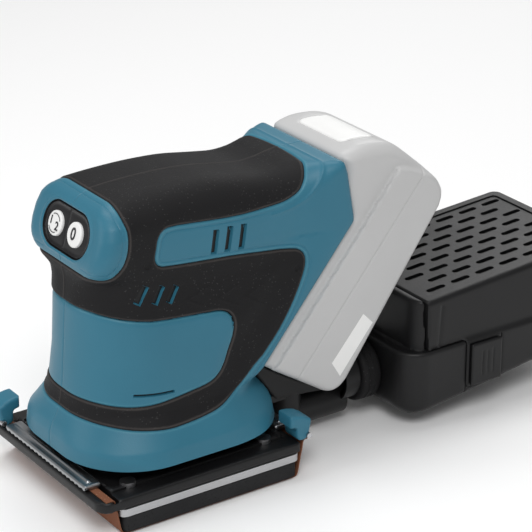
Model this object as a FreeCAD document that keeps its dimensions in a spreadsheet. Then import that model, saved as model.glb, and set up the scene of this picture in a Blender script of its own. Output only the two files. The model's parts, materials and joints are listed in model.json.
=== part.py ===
import FreeCAD, Part
import Sketcher
import math
import os
import re
from FreeCAD import Placement, Rotation, Vector

# Cordless palm finishing sander: quarter-sheet orbital pad under a palm-grip housing,
# sliding battery pack behind the handle and a dust box at the rear.
# +Z is up, -X is the front with the switch, the drive axis is the Z axis and
# Z = 0 is the sanding face.  Millimetres.

os.makedirs("parts", exist_ok=True)
doc = FreeCAD.newDocument("PalmSander")
sheet = doc.addObject("Spreadsheet::Sheet", "Sizes")

SIZES = [
    ("pad_length", 102, "foam pad along X"),
    ("pad_width", 112, "foam pad along Y"),
    ("paper_thick", 1, "sanding sheet"),
    ("foam_thick", 9, "foam pad"),
    ("plate_thick", 4, "aluminium base plate"),
    ("tray_front", 64, "moulded tray, towards the front"),
    ("tray_rear", 58, "moulded tray, towards the rear"),
    ("tray_height", 6, "moulded tray above the plate"),
    ("orbit_radius", 0.75, "offset of the drive pin"),
    ("shaft_radius", 4, "motor shaft"),
    ("bearing_inner", 4.03, "motor bearing bore"),
    ("bearing_outer", 11, "motor bearing outside"),
    ("pin_radius", 5, "offset drive pin"),
    ("pin_bore", 5.03, "bore of the pad bearing"),
    ("pad_bearing_outer", 14, "pad bearing outside"),
    ("bearing_thick", 9, "all bearings"),
    ("rotor_radius", 13, "motor rotor"),
    ("stator_bore", 13.6, "motor stator bore"),
    ("stator_radius", 24, "motor stator"),
    ("stator_height", 28, "motor stator"),
    ("stator_base", 77, "height of the stator's lower face"),
    ("fan_radius", 33, "dust and cooling fan"),
    ("fan_height", 8, "fan blades"),
    ("fan_base", 54, "height of the fan disc"),
    ("skirt_half", 53, "skirt at its lower edge, Y"),
    ("skirt_front", 60, "skirt at its lower edge, towards the front"),
    ("skirt_rear", 57, "skirt at its lower edge, towards the rear"),
    ("skirt_base", 27, "height of the skirt's lower edge"),
    ("skirt_top", 42, "height of the joint between skirt and housing"),
    ("neck_front", 49, "column below the nose, towards the front"),
    ("column_front", 54, "column at the skirt, towards the front"),
    ("column_rear", 46, "column at the skirt, towards the rear"),
    ("column_half", 43, "column at the skirt, Y"),
    ("neck_half", 35, "column below the handle, Y"),
    ("neck_rear", 46, "column below the handle, towards the rear"),
    ("column_round", 30, "column corner radius"),
    ("skirt_round", 40, "skirt corner radius at its lower edge"),
    ("neck_height", 125, "height of the top of the column"),
    ("handle_half", 32.5, "handle, Y"),
    ("handle_round", 16, "handle corner radius"),
    ("handle_top", 158.6, "height of the palm rest"),
    ("handle_dip", 154, "height of the dip behind the palm rest"),
    ("handle_under", 108, "height of the handle's hidden underside"),
    ("nose_front", 49.5, "front of the handle"),
    ("saddle_place", 56, "where the dip is, towards the rear"),
    ("flange_top", 93.9, "battery flange's top edge, towards the rear"),
    ("flange_waist", 100.2, "battery flange's widest point, towards the rear"),
    ("flange_waist_height", 124.1, "height of that point"),
    ("flange_foot", 44, "battery flange's lower edge, towards the rear"),
    ("flange_foot_height", 56.3, "height of that edge"),
    ("flange_half", 34, "battery flange, Y"),
    ("wall_thick", 3, "housing wall"),
    ("rubber_thick", 1.6, "soft grip cover"),
    ("grip_edge", 141, "height of the soft grip's side edge"),
    ("band_base", 54, "height of the neck band's lower edge"),
    ("band_height", 9, "neck band"),
    ("panel_width", 39.6, "switch panel, Y"),
    ("panel_height", 23, "switch panel along its slope"),
    ("panel_thick", 2.5, "switch panel"),
    ("panel_lean", 18.4, "switch panel's lean from upright, degrees"),
    ("panel_place", 46.5, "switch panel's centre, towards the front"),
    ("panel_level", 141.2, "height of the switch panel's centre"),
    ("button_gap", 9.2, "buttons' distance from the middle"),
    ("button_radius", 6.5, "buttons"),
    ("button_length", 5.5, "buttons, with the part inside the panel"),
    ("battery_half", 37.5, "battery, Y"),
    ("battery_wall", 2.5, "battery case wall"),
    ("battery_low", 91.5, "battery's lowest edge, towards the rear"),
    ("battery_low_height", 24.7, "height of that edge"),
    ("battery_back", 156, "battery's rearmost edge"),
    ("battery_back_height", 123.7, "height of that edge"),
    ("battery_head", 128, "rear edge of the battery's top face"),
    ("battery_head_height", 158, "height of the battery's top face"),
    ("slide_angle", 50.3, "slope of the battery rails, degrees"),
    ("rail_half", 25, "rail block, Y"),
    ("rail_length", 62, "rail block along the slope"),
    ("rail_depth", 5, "rail block"),
    ("cell_radius", 9, "battery cells"),
    ("cell_length", 65, "battery cells"),
    ("cell_angle", 55, "slope of the cell rows, degrees"),
    ("release_half", 19.5, "battery release button, Y"),
    ("release_length", 21, "battery release button, X"),
    ("pipe_place", 72, "dust pipe, towards the rear"),
    ("pipe_side", 12, "dust pipe and inlet, towards the left side"),
    ("pipe_radius", 10, "dust pipe"),
    ("pipe_bore", 8, "dust pipe bore"),
    ("pipe_level", 13.5, "height of the pipe's axis"),
    ("collar_radius", 17, "rubber collar at the dust box"),
    ("inlet_level", 26, "height of the dust box inlet"),
    ("box_front", 126, "front of the dust box"),
    ("box_split", 165, "joint between dust box cap and case, below the ledge"),
    ("lid_front", 140, "front of the dust box case, above the ledge"),
    ("ledge_level", 44, "height of the ledge"),
    ("box_rear", 262, "rear of the dust box"),
    ("box_left", 50, "dust box, towards the left side"),
    ("box_right", 45, "dust box, towards the right side"),
    ("box_wall", 2, "dust box wall"),
    ("lever_width", 14, "paper clamp lever, Y"),
    ("lever_height", 17, "paper clamp lever"),
    ("clamp_width", 80, "paper clamp bar, Y"),
    ("hinge_radius", 1.5, "clamp hinge pins"),
    ("clamp_knuckle", 1.6, "rolled edge of a clamp bar"),
    ("clip_knuckle", 1.1, "hinge edge of a dust box clip"),
    ("foot_radius", 7, "rubber feet"),
]
for row, (alias, value, note) in enumerate(SIZES, start=1):
    sheet.set("A%d" % row, alias)
    sheet.set("B%d" % row, str(value))
    sheet.set("C%d" % row, note)
    sheet.setAlias("B%d" % row, alias)
doc.recompute()
value = {alias: float(number) for alias, number, note in SIZES}
ALIAS = re.compile(r"\b(" + "|".join(sorted(value, key=len, reverse=True)) + r")\b")
UP = Vector(0, 0, 1)
AXIS_X = Vector(1, 0, 0)
AXIS_Y = Vector(0, 1, 0)
LIE_X = Rotation(AXIS_Y, 90)
LIE_Y = Rotation(AXIS_X, -90)
SIDE_VIEW = Rotation(AXIS_X, 90)
END_VIEW = Rotation(Vector(1, 1, 1), 120)
PANEL_TURN = Rotation(AXIS_Y, value["panel_lean"] - 90)
probe = doc.addObject("Part::Vertex", "Probe")
nodes = []


def formula(text):
    """An expression in which each alias names its cell of the sheet."""
    return ALIAS.sub(lambda word: "Sizes." + word.group(0), str(text))


def number(text):
    """What a formula comes to with the sheet's present numbers."""
    probe.setExpression("X", formula(text))
    probe.recompute()
    return probe.X.Value


def bind(item, sizes):
    for prop, text in sizes.items():
        item.setExpression(prop, formula(text))
    return item


def put(item, x=0, y=0, z=0, turn=None):
    """Give an object its turn and its bound position."""
    item.Placement = Placement(Vector(0, 0, 0), turn or Rotation())
    return bind(item, {"Placement.Base.x": x, "Placement.Base.y": y, "Placement.Base.z": z})


def block(name, length, width, height, x, y, z, turn=None):
    item = doc.addObject("Part::Box", name)
    bind(item, {"Length": length, "Width": width, "Height": height})
    return put(item, x, y, z, turn)


def rod(name, radius, height, x=0, y=0, z=0, turn=None):
    item = doc.addObject("Part::Cylinder", name)
    bind(item, {"Radius": radius, "Height": height})
    return put(item, x, y, z, turn)


def join(name, *pieces):
    item = doc.addObject("Part::MultiFuse", name)
    item.Shapes = list(pieces)
    return item


def cut(name, base, *tools):
    item = doc.addObject("Part::Cut", name)
    item.Base = base
    item.Tool = tools[0] if len(tools) == 1 else join(name + "Tools", *tools)
    return item


def common(name, base, tool):
    item = doc.addObject("Part::Common", name)
    item.Base = base
    item.Tool = tool
    return item


def ring(name, outer, inner, height, x=0, y=0, z=0, turn=None):
    body = rod(name + "Outer", outer, height, x, y, z, turn)
    hole = rod(name + "Hole", inner, height, x, y, z, turn)
    return cut(name, body, hole)


def outline(name, points, x=0, y=0, z=0, turn=None):
    """A closed sketch whose corners are bound to the sheet."""
    sketch = doc.addObject("Sketcher::SketchObject", name)
    numbers = [[number(word) for word in point] for point in points]
    count = len(points)
    for i in range(count):
        a = Vector(*numbers[i], 0)
        b = Vector(*numbers[(i + 1) % count], 0)
        sketch.addGeometry(Part.LineSegment(a, b), False)
    for i in range(count):
        sketch.addConstraint(Sketcher.Constraint("Coincident", i, 2, (i + 1) % count, 1))
    for i, (across, along) in enumerate(points):
        k = sketch.addConstraint(Sketcher.Constraint("DistanceX", -1, 1, i, 1, numbers[i][0]))
        bind(sketch, {"Constraints[%d]" % k: across})
        k = sketch.addConstraint(Sketcher.Constraint("DistanceY", -1, 1, i, 1, numbers[i][1]))
        bind(sketch, {"Constraints[%d]" % k: along})
    return put(sketch, x, y, z, turn)


def grown(name, source, amount):
    """An outline moved outwards by an amount, with rounded corners."""
    item = doc.addObject("Part::Offset2D", name)
    item.Source = source
    return bind(item, {"Value": amount})


def prism(name, section, half, y=0):
    """A side-view outline given its width, the same to both sides."""
    item = doc.addObject("Part::Extrusion", name)
    item.Base = section
    item.DirMode = "Custom"
    item.Dir = AXIS_Y
    item.Symmetric = True
    item.Solid = True
    bind(item, {"LengthFwd": "2 * (%s)" % half})
    return put(item, 0, y, 0)


def side_outline(name, points):
    return outline(name, points, turn=SIDE_VIEW)


def loft(name, sections):
    item = doc.addObject("Part::Loft", name)
    item.Sections = sections
    item.Solid = True
    item.Ruled = False
    return item


def soften(name, base, radius, direction):
    """Round the straight edges that run along a direction."""
    doc.recompute()
    item = doc.addObject("Part::Fillet", name)
    item.Base = base
    picked = []
    for i, edge in enumerate(base.Shape.Edges, start=1):
        run = edge.tangentAt(edge.FirstParameter)
        if edge.Curve.TypeId == "Part::GeomLine" and abs(run.dot(direction)) > 0.99:
            picked.append((i, radius, radius))
    item.Edges = picked
    return item


def node(item, label):
    """Declare a finished piece under the name of its file."""
    item.Label = label
    nodes.append(item)
    return item


# --- housing -------------------------------------------------------------------------------

COLUMN = [
    ("column_front", "column_rear", "column_half", "skirt_top"),
    ("column_front - 2", "column_rear - 2", "column_half - 2", "skirt_top + 16"),
    ("neck_front", "neck_rear - 4", "neck_half + 1", "neck_height - 25"),
    ("neck_front - 1", "neck_rear", "neck_half - 2", "neck_height"),
]
HANDLE = [
    ("-nose_front", "handle_half - 4", "neck_height - 9", "handle_top - 4"),
    ("-nose_front + 16", "handle_half", "handle_under", "handle_top"),
    ("20", "handle_half", "handle_under", "handle_top + 0.4"),
    ("saddle_place", "handle_half - 1", "handle_under", "handle_dip"),
    ("flange_top - 2", "handle_half + 1", "handle_under + 14", "handle_top"),
]
FLANGE = [
    ("flange_foot", "flange_foot_height"),
    ("flange_waist", "flange_waist_height"),
    ("flange_top", "handle_top"),
    ("saddle_place", "handle_dip"),
    ("10", "handle_under"),
    ("10", "flange_foot_height + 10"),
]


def column_section(name, front, rear, half, level, round_size, inset):
    core = outline(name, [
        ("-(%s) + %s" % (front, round_size), "-(%s) + %s" % (half, round_size)),
        ("%s - %s" % (rear, round_size), "-(%s) + %s" % (half, round_size)),
        ("%s - %s" % (rear, round_size), "%s - %s" % (half, round_size)),
        ("-(%s) + %s" % (front, round_size), "%s - %s" % (half, round_size)),
    ], z=level)
    return grown(name + "Round", core, "%s - (%s)" % (round_size, inset))


def housing_solid(name, inset):
    """The housing's outer form, drawn in by an inset."""
    column = loft(name + "Column", [
        column_section("%sColumn%d" % (name, i), *sizes, "column_round", inset)
        for i, sizes in enumerate(COLUMN)])
    rings = []
    for i, (place, half, low, high) in enumerate(HANDLE):
        side = "%s - handle_round" % half
        shift = {0: "+ (%s)" % inset, len(HANDLE) - 1: "- (%s)" % inset}.get(i, "")
        core = outline("%sHandle%d" % (name, i), [
            ("-(%s)" % side, "%s + handle_round" % low),
            (side, "%s + handle_round" % low),
            (side, "%s - handle_round" % high),
            ("-(%s)" % side, "%s - handle_round" % high),
        ], x="%s %s" % (place, shift), turn=END_VIEW)
        rings.append(grown("%sHandle%dRound" % (name, i), core, "handle_round - (%s)" % inset))
    handle = loft(name + "Handle", rings)
    wedge = grown(name + "WedgeInset", side_outline(name + "Wedge", FLANGE), "-(%s) - 0.01" % inset)
    flange = prism(name + "Flange", wedge, "flange_half - (%s)" % inset)
    return join(name, column, handle, flange)


outer = housing_solid("Outer", "0")
under_rubber = housing_solid("UnderRubber", "rubber_thick")
hollow = housing_solid("Hollow", "wall_thick")
grip_zone = prism("GripZone", side_outline("GripZoneSide", [
    ("-nose_front + 14", "handle_top + 20"),
    ("-nose_front + 14", "grip_edge + 6"),
    ("-nose_front + 20", "grip_edge"),
    ("saddle_place + 12", "grip_edge"),
    ("flange_top - 14", "handle_top - 12"),
    ("flange_top - 14", "handle_top + 20"),
]), "handle_half + 20")
band_zone = block("BandZone", 220, 140, "band_height", -110, -70, "band_base")
rubber = cut("RubberLayer", outer, under_rubber)
node(common("HandleGrip", rubber, grip_zone), "handle_grip")
node(common("NeckBand", rubber, band_zone), "neck_band")
panel_room = rod("PanelRoom", "panel_width / 2 + 3", 20, "-panel_place", 0, "panel_level", PANEL_TURN)
panel_bed = rod("PanelBed", "panel_width / 2 + 0.3", 9, "-panel_place + 8", 0, "panel_level - 2.7", PANEL_TURN)
shell = cut("HousingShell", outer, hollow, grip_zone, band_zone, panel_room, panel_bed)
walled = common("UnderCover", cut("UnderCoverLayer", under_rubber, hollow),
                join("CoverZones", grip_zone, band_zone))
whole = cut("HousingWhole", join("HousingJoined", shell, walled),
            join("PanelPocket", panel_room, panel_bed))
for side, low in (("left", -100), ("right", 0)):
    half_space = block("Space" + side, 300, 100, 200, -120, low, 0)
    node(common("Housing" + side, whole, half_space), "housing_" + side)

skirt_out = loft("SkirtOut", [
    column_section("SkirtLow", "skirt_front", "skirt_rear", "skirt_half", "skirt_base", "skirt_round", "0"),
    column_section("SkirtTop", *COLUMN[0][:3], "skirt_top - 0.1", "column_round", "0")])
skirt_in = loft("SkirtIn", [
    column_section("SkirtLowIn", "skirt_front", "skirt_rear", "skirt_half", "skirt_base",
                   "skirt_round", "wall_thick"),
    column_section("SkirtTopIn", *COLUMN[0][:3], "skirt_top - 0.1", "column_round", "wall_thick")])
duct_hole = block("DuctHole", 60, 24.4, 5, 30, "-pipe_side - 12.2", 25)
node(cut("Skirt", skirt_out, skirt_in, duct_hole), "skirt")
base_plug = column_section("BaseRingSide", "column_front - 5", "column_rear - 5", "column_half - 5",
                           "skirt_top - 6", "column_round", "0")
base_disc = doc.addObject("Part::Extrusion", "BaseDisc")
base_disc.Base = base_plug
base_disc.DirMode = "Custom"
base_disc.Dir = UP
base_disc.LengthFwd = 3
base_disc.Solid = True
node(cut("BaseRing", base_disc, rod("BaseRingHole", 25, 9, 0, 0, "skirt_top - 9")), "base_ring")
FEET = [(-30, -26), (-30, 26), (24, -26), (24, 26)]
FOOT_BASE = "paper_thick + foam_thick + plate_thick + tray_height + 1"
for i, (x, y) in enumerate(FEET, start=1):
    node(rod("Foot%d" % i, "foot_radius", "skirt_top - 6 - (%s)" % FOOT_BASE, x, y, FOOT_BASE),
         "rubber_foot_%d" % i)

# --- switch --------------------------------------------------------------------------------

def on_panel(name, radius, depth, across, up, out):
    """A round piece standing on the sloped panel: across it, up it and out of it."""
    lean = math.radians(value["panel_lean"])
    x = "-panel_place + %f * (%s) - %f * (%s)" % (math.sin(lean), up, math.cos(lean), out)
    z = "panel_level + %f * (%s) + %f * (%s)" % (math.cos(lean), up, math.sin(lean), out)
    return rod(name, radius, depth, x, across, z, PANEL_TURN)


left_end = on_panel("PanelEnd1", "panel_height / 2", "panel_thick", "-(panel_width - panel_height) / 2", 0, -3)
right_end = on_panel("PanelEnd2", "panel_height / 2", "panel_thick", "(panel_width - panel_height) / 2", 0, -3)
middle = on_panel("PanelMiddle", "panel_height / 2", "panel_thick", 0, 0, -3)
plate = join("PanelPlate", left_end, middle, right_end)
holes = [on_panel("PanelHole%d" % i, "button_radius + 0.3", 12, across, 0, -8)
         for i, across in enumerate(("-button_gap", "button_gap"))]
node(cut("SwitchPanel", plate, *holes), "switch_panel")
for label, across in (("off_button", "-button_gap"), ("speed_button", "button_gap")):
    cap = on_panel(label + "Cap", "button_radius", "button_length", across, 0, "-button_length + 1")
    node(cap, label)
board_turn = Rotation(AXIS_Y, value["panel_lean"])
board = block("Board", 2, 34, 20, "-panel_place + 8", -17, "panel_level - 14", board_turn)
node(board, "switch_board")
node(block("Controller", 44, 40, 14, 8, -20, 128), "controller")

# --- motor ---------------------------------------------------------------------------------

node(ring("Stator", "stator_radius", "stator_bore", "stator_height", z="stator_base"), "motor_stator")
bearing_low = ring("BearingLow", "bearing_outer", "bearing_inner", "bearing_thick", z="stator_base - 11")
node(bearing_low, "bearing_lower")
node(ring("BearingHigh", "bearing_outer", "bearing_inner", "bearing_thick",
          z="stator_base + stator_height + 3"), "bearing_upper")
node(ring("BracketLow", "stator_radius + 7", "bearing_outer", 5, z="stator_base - 8"), "bracket_lower")
node(ring("BracketHigh", "stator_radius", "bearing_outer", 5, z="stator_base + stator_height + 4"),
     "bracket_upper")
PIN_TOP = "skirt_top + 1"
shaft_length = "stator_base + stator_height + 13 - (%s)" % PIN_TOP
node(rod("Shaft", "shaft_radius", shaft_length, z=PIN_TOP), "motor_shaft")
node(rod("DrivePin", "pin_radius", "skirt_top + 1 - 25", "orbit_radius", 0, 25), "drive_pin")
node(ring("RotorCore", "rotor_radius", "shaft_radius", "stator_height", z="stator_base"), "rotor_core")
disc = ring("FanDisc", "fan_radius", "shaft_radius", 2, z="fan_base")
blades = []
for i in range(12):
    turn = Rotation(UP, 30 * i)
    root = turn.multVec(Vector(11, -0.6, 0))
    blades.append(block("Blade%d" % i, "fan_radius - 12", 1.2, "fan_height - 1", root.x, root.y,
                        "fan_base + 1", turn))
hub = ring("FanHub", 12, "shaft_radius", "fan_height", z="fan_base")
node(join("Fan", disc, hub, *blades), "fan")
weight_disc = ring("WeightDisc", 20, "shaft_radius", 8, z="skirt_top + 2")
node(cut("Counterweight", weight_disc, block("WeightCut", 40, 60, 20, 5, -30, "skirt_top")), "counterweight")

# --- sanding pad ---------------------------------------------------------------------------

TRAY_BASE = "paper_thick + foam_thick + plate_thick"
sheet_block = block("Sheet", "pad_length", "pad_width", "paper_thick", "-pad_length / 2", "-pad_width / 2", 0)
node(sheet_block, "sanding_sheet")
foam = block("Foam", "pad_length", "pad_width", "foam_thick", "-pad_length / 2", "-pad_width / 2", "paper_thick")
node(soften("FoamPad", foam, 3, UP), "foam_pad")
plate_block = block("Plate", "pad_length + 4", "pad_width", "plate_thick", "-pad_length / 2 - 2",
                    "-pad_width / 2", "paper_thick + foam_thick")
node(soften("BasePlate", plate_block, 4, UP), "base_plate")
tray_block = block("TrayBlock", "tray_front + tray_rear", "pad_width", "tray_height",
                   "-tray_front", "-pad_width / 2", TRAY_BASE)
tray_round = soften("TrayRound", tray_block, 5, UP)
tray_hub = rod("TrayHub", "pad_bearing_outer + 3", 20, "orbit_radius", 0, "%s + 1" % TRAY_BASE)
tray_bore = rod("TrayBore", "pad_bearing_outer", 30, "orbit_radius", 0, "%s + 11" % TRAY_BASE)
tray_well = rod("TrayWell", "pin_radius + 3", 30, "orbit_radius", 0, "%s + 5" % TRAY_BASE)
TAPS = [(-42, -44), (-42, 44), (38, -44), (38, 44)]
taps = [rod("Tap%d" % i, 2.1, 30, x, y, 5) for i, (x, y) in enumerate(TAPS)]
node(cut("Tray", join("TraySolid", tray_round, tray_hub), tray_bore, tray_well, *taps), "pad_tray")
node(ring("PadBearing", "pad_bearing_outer", "pin_bore", "bearing_thick", "orbit_radius", 0,
          "%s + 11" % TRAY_BASE), "pad_bearing")
for i, (x, y) in enumerate(TAPS, start=1):
    head = rod("PadScrewHead%d" % i, 4, 2.5, x, y, "%s + tray_height" % TRAY_BASE)
    stem = rod("PadScrewStem%d" % i, 2.1, "tray_height", x, y, TRAY_BASE)
    node(join("PadScrew%d" % i, head, stem), "pad_screw_%d" % i)

TRAY_TOP = "%s + tray_height" % TRAY_BASE


def clamp_set(where, end, sign, side):
    """Paper clamp bar, its lever and the lever's pin at one end of the tray."""
    near = "(%d) * (%s)" % (sign, end)
    low = "-lever_width / 2 + (%d) * 49.5" % side
    pin_place = "%s - (%d) * 0.5" % (near, sign)
    level = "%s + 3" % TRAY_TOP
    inward = "%s - (%d) * 11" % (near, sign)
    base_x = pin_place if sign < 0 else inward
    lever_block = block("LeverBlock" + where, 10.5, "lever_width - 1", "lever_height - 2", base_x, low,
                        "%s + 0.5" % TRAY_TOP)
    knuckle = rod("LeverKnuckle" + where, 2.5, "lever_width - 1", pin_place, low, level, LIE_Y)
    bore = rod("LeverBore" + where, "hinge_radius + 0.05", 40, pin_place, "%s - 10" % low, level, LIE_Y)
    node(cut("Lever" + where, join("LeverSolid" + where, lever_block, knuckle), bore), "lever_" + where)
    node(rod("Pin" + where, "hinge_radius", "lever_width + 1", pin_place, "%s - 1" % low, level, LIE_Y),
         "lever_pin_" + where)
    bar_x = near if sign < 0 else "%s - 8" % near
    bar = block("Bar" + where, 8, "clamp_width", 3.2, bar_x, "-clamp_width / 2", "%s + 0.3" % TRAY_TOP)
    edge_x = "%s - (%d) * 8" % (near, sign)
    roll = rod("Roll" + where, "clamp_knuckle", "clamp_width", edge_x, "-clamp_width / 2",
               "%s + 0.3 + clamp_knuckle" % TRAY_TOP, LIE_Y)
    node(join("ClampBar" + where, bar, roll), "clamp_" + where)


clamp_set("front", "tray_front", -1, 1)
clamp_set("rear", "tray_rear", 1, -1)

# --- battery -------------------------------------------------------------------------------

SLOPE = Rotation(AXIS_Y, -value["slide_angle"])
along = (math.cos(math.radians(value["slide_angle"])), math.sin(math.radians(value["slide_angle"])))
pack_side = side_outline("PackSide", [
    ("flange_foot + 0.3", "flange_foot_height - 0.3"),
    ("battery_low", "battery_low_height"),
    ("battery_back", "battery_back_height"),
    ("battery_back - 6", "battery_back_height + 14"),
    ("battery_head", "battery_head_height"),
    ("flange_top + 0.6", "battery_head_height"),
    ("flange_waist + 0.5", "flange_waist_height - 0.3"),
])
pack_out = prism("PackOut", pack_side, "battery_half")
pack_in = prism("PackIn", grown("PackInSide", pack_side, "-battery_wall"), "battery_half - battery_wall")


def on_slope(name, length, half, depth, start, lift):
    """A block lying along the rails, sunk by a lift below the flange's face."""
    x = "flange_foot + %f * (%s) + %f * (%s)" % (along[0], start, along[1], lift)
    z = "flange_foot_height + %f * (%s) - %f * (%s)" % (along[1], start, along[0], lift)
    item = block(name, length, "2 * (%s)" % half, depth, x, "-(%s)" % half, z, SLOPE)
    return item


channel = on_slope("Channel", 88, "rail_half + 0.4", "rail_depth + 3", -12, "rail_depth + 0.4")
release_room = block("ReleaseRoom", "release_length + 1", "2 * release_half + 1", 20, 102.5,
                     "-release_half - 0.5", "battery_head_height - 7")
pack_shell = cut("PackShell", pack_out, pack_in)
lining = on_slope("Lining", 84, "rail_half + 3", "rail_depth + 2.1", 2, "rail_depth + 1.9")
release_lining = block("ReleaseLining", "release_length + 4", "2 * release_half + 4", 8, 101,
                       "-release_half - 2", "battery_head_height - 9")
linings = common("PackLinings", join("Linings", lining, release_lining), pack_out)
pack_lined = join("PackLined", pack_shell, linings)
pack_whole = cut("PackWhole", pack_lined, channel, release_room)
upper_space = on_slope("UpperSpace", 220, 60, 80, -60, 24)
node(common("PackUpper", pack_whole, upper_space), "battery_upper_case")
node(cut("PackLower", pack_whole, upper_space), "battery_lower_case")
cell_dir = (math.cos(math.radians(value["cell_angle"])), math.sin(math.radians(value["cell_angle"])))
for label, depth in (("inner", 24), ("outer", 42.3)):
    row = []
    for i in range(5):
        run = 15 + 18.4 * i
        x = "flange_foot + %f + %f" % (cell_dir[1] * depth, cell_dir[0] * run)
        z = "flange_foot_height + %f - %f" % (cell_dir[1] * run, cell_dir[0] * depth)
        name = "Cell%s%d" % (label, i)
        row.append(rod(name, "cell_radius", "cell_length", x, "-cell_length / 2", z, LIE_Y))
    node(join("Cells" + label, *row), "battery_cells_" + label)
release = block("Release", "release_length", "2 * release_half", 4.4, 103, "-release_half",
                "battery_head_height - 4.4")
node(soften("ReleaseButton", release, 1.2, AXIS_X), "release_button")
rails = on_slope("Rails", "rail_length", "rail_half", "rail_depth + 0.0", 6, "rail_depth")
rail_slot = on_slope("RailSlot", 100, 8, 3, -4, "rail_depth + 0.6")
node(cut("RailBlock", rails, rail_slot), "rail_block")

# --- dust extraction -----------------------------------------------------------------------

pipe = rod("Pipe", "pipe_radius", 25.5, "pipe_place", "-pipe_side", 3.5)
run = rod("PipeRun", "pipe_radius - 0.7", 36, "pipe_place", "-pipe_side", "pipe_level", LIE_X)
head = rod("PipeHead", 14, 9, "pipe_place + 32", "-pipe_side", "inlet_level", LIE_X)
duct = block("Duct", 30, 19, 3.8, "pipe_place - 34", "-pipe_side - 9.5", 25.9)
run_bore = rod("RunBore", "pipe_bore - 0.7", 70, "pipe_place", "-pipe_side", "pipe_level", LIE_X)
pipe_bore = rod("PipeBore", "pipe_bore", 15, "pipe_place", "-pipe_side", "pipe_level - 1.3")
duct_bore = block("DuctBore", 34, 14, 2, "pipe_place - 36", "-pipe_side - 7", 26.8)
head_bore = rod("HeadBore", 11, 40, "pipe_place + 34", "-pipe_side", "inlet_level", LIE_X)
node(cut("DustNozzle", join("NozzleSolid", pipe, run, head, duct), run_bore, pipe_bore, duct_bore, head_bore),
     "dust_nozzle")
node(ring("DustCollar", "collar_radius", 11.5, "box_front - pipe_place - 42", "pipe_place + 41.5", "-pipe_side",
          "inlet_level", LIE_X), "dust_collar")
BOX_HALF = "(box_left + box_right) / 2"
BOX_SHIFT = "-(box_left - box_right) / 2"
cap_side = side_outline("CapSide", [
    ("box_front", 10), ("box_front + 5", 8), ("box_split", 12), ("box_split", "ledge_level"),
    ("lid_front", "ledge_level"), ("lid_front", 71.5), ("box_front + 10", 71),
    ("box_front + 8", "ledge_level + 2"), ("box_front", 42)])
case_side = side_outline("CaseSide", [
    ("box_split + 0.3", 12), ("box_rear - 8", 24), ("box_rear", 30), ("box_rear", 76),
    ("box_rear - 6", 80), ("lid_front + 0.3", 71.7), ("lid_front + 0.3", "ledge_level + 0.3"),
    ("box_split + 0.3", "ledge_level + 0.3")])
cap_room = side_outline("CapRoomSide", [
    ("box_front + box_wall", 12), ("box_split + 5", 14), ("box_split + 5", 69.5),
    ("box_front + 12", 69), ("box_front + 10", 44), ("box_front + box_wall", 40)])
cap_in = prism("CapIn", cap_room, "%s - box_wall" % BOX_HALF, BOX_SHIFT)
inlet = rod("Inlet", 11.5, 30, "box_front - 5", "-pipe_side", "inlet_level", LIE_X)
node(cut("DustCap", prism("CapBody", cap_side, BOX_HALF, BOX_SHIFT), cap_in, inlet), "dust_cap")
case_room = side_outline("CaseRoomSide", [
    ("box_split - 5", 14), ("box_rear - 9", 26.5), ("box_rear - 2", 32), ("box_rear - 2", 74),
    ("box_rear - 7", 77.5), ("lid_front - 5", 69.3), ("lid_front - 5", 30), ("box_split - 5", 30)])
case_in = prism("CaseIn", case_room, "%s - box_wall" % BOX_HALF, BOX_SHIFT)
node(cut("DustCase", prism("CaseBody", case_side, BOX_HALF, BOX_SHIFT), case_in), "dust_case")
node(block("Filter", 70, 76, 34, "box_split + 12", -40.5, 32), "dust_filter")
for side, y in (("left", "-box_left - 2.6"), ("right", "box_right + 0.4")):
    clip = block("Clip" + side, 20, "2 * clip_knuckle", 24, "box_split + 2", y, 18)
    knuckle = rod("ClipKnuckle" + side, "clip_knuckle", 24, "box_split + 22", "%s + clip_knuckle" % y, 18)
    node(join("DustClip" + side, clip, knuckle), "dust_clip_" + side)

# --- write ---------------------------------------------------------------------------------

doc.recompute()
doc.removeObject(probe.Name)
for item in doc.Objects:
    if "Invalid" in item.State or "Error" in item.State:
        raise RuntimeError("%s failed: %s" % (item.Name, item.State))
for item in nodes:
    if item.Shape.isNull() or not item.Shape.isValid() or not item.Shape.Solids:
        raise RuntimeError("%s has no valid solid" % item.Label)
    item.Shape.exportStep("parts/%s.step" % item.Label)
print("%d sub-parts written" % len(nodes))
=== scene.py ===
import json
import math
import bmesh
import bpy
import numpy as np
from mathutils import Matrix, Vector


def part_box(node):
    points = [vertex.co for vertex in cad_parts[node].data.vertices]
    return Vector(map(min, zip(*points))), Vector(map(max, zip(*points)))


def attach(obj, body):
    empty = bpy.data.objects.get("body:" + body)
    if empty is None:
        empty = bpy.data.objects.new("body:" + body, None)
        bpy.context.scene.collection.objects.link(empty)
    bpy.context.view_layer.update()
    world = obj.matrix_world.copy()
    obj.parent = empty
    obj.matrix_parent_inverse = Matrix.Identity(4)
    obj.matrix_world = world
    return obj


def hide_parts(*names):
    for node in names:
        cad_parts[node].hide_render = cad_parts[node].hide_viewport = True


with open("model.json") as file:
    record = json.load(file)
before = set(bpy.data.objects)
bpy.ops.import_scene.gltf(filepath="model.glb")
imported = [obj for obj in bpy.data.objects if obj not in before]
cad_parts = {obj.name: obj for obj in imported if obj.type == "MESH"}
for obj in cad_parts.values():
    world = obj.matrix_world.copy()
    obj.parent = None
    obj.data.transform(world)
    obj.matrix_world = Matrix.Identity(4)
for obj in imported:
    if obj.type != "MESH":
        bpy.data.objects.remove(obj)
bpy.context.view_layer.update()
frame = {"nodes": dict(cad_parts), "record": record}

import openvdb
from mathutils import Matrix, Vector

# Cordless palm sander.  The frame is in metres; the fields and outlines here are in millimetres.
mm = 0.001


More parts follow.
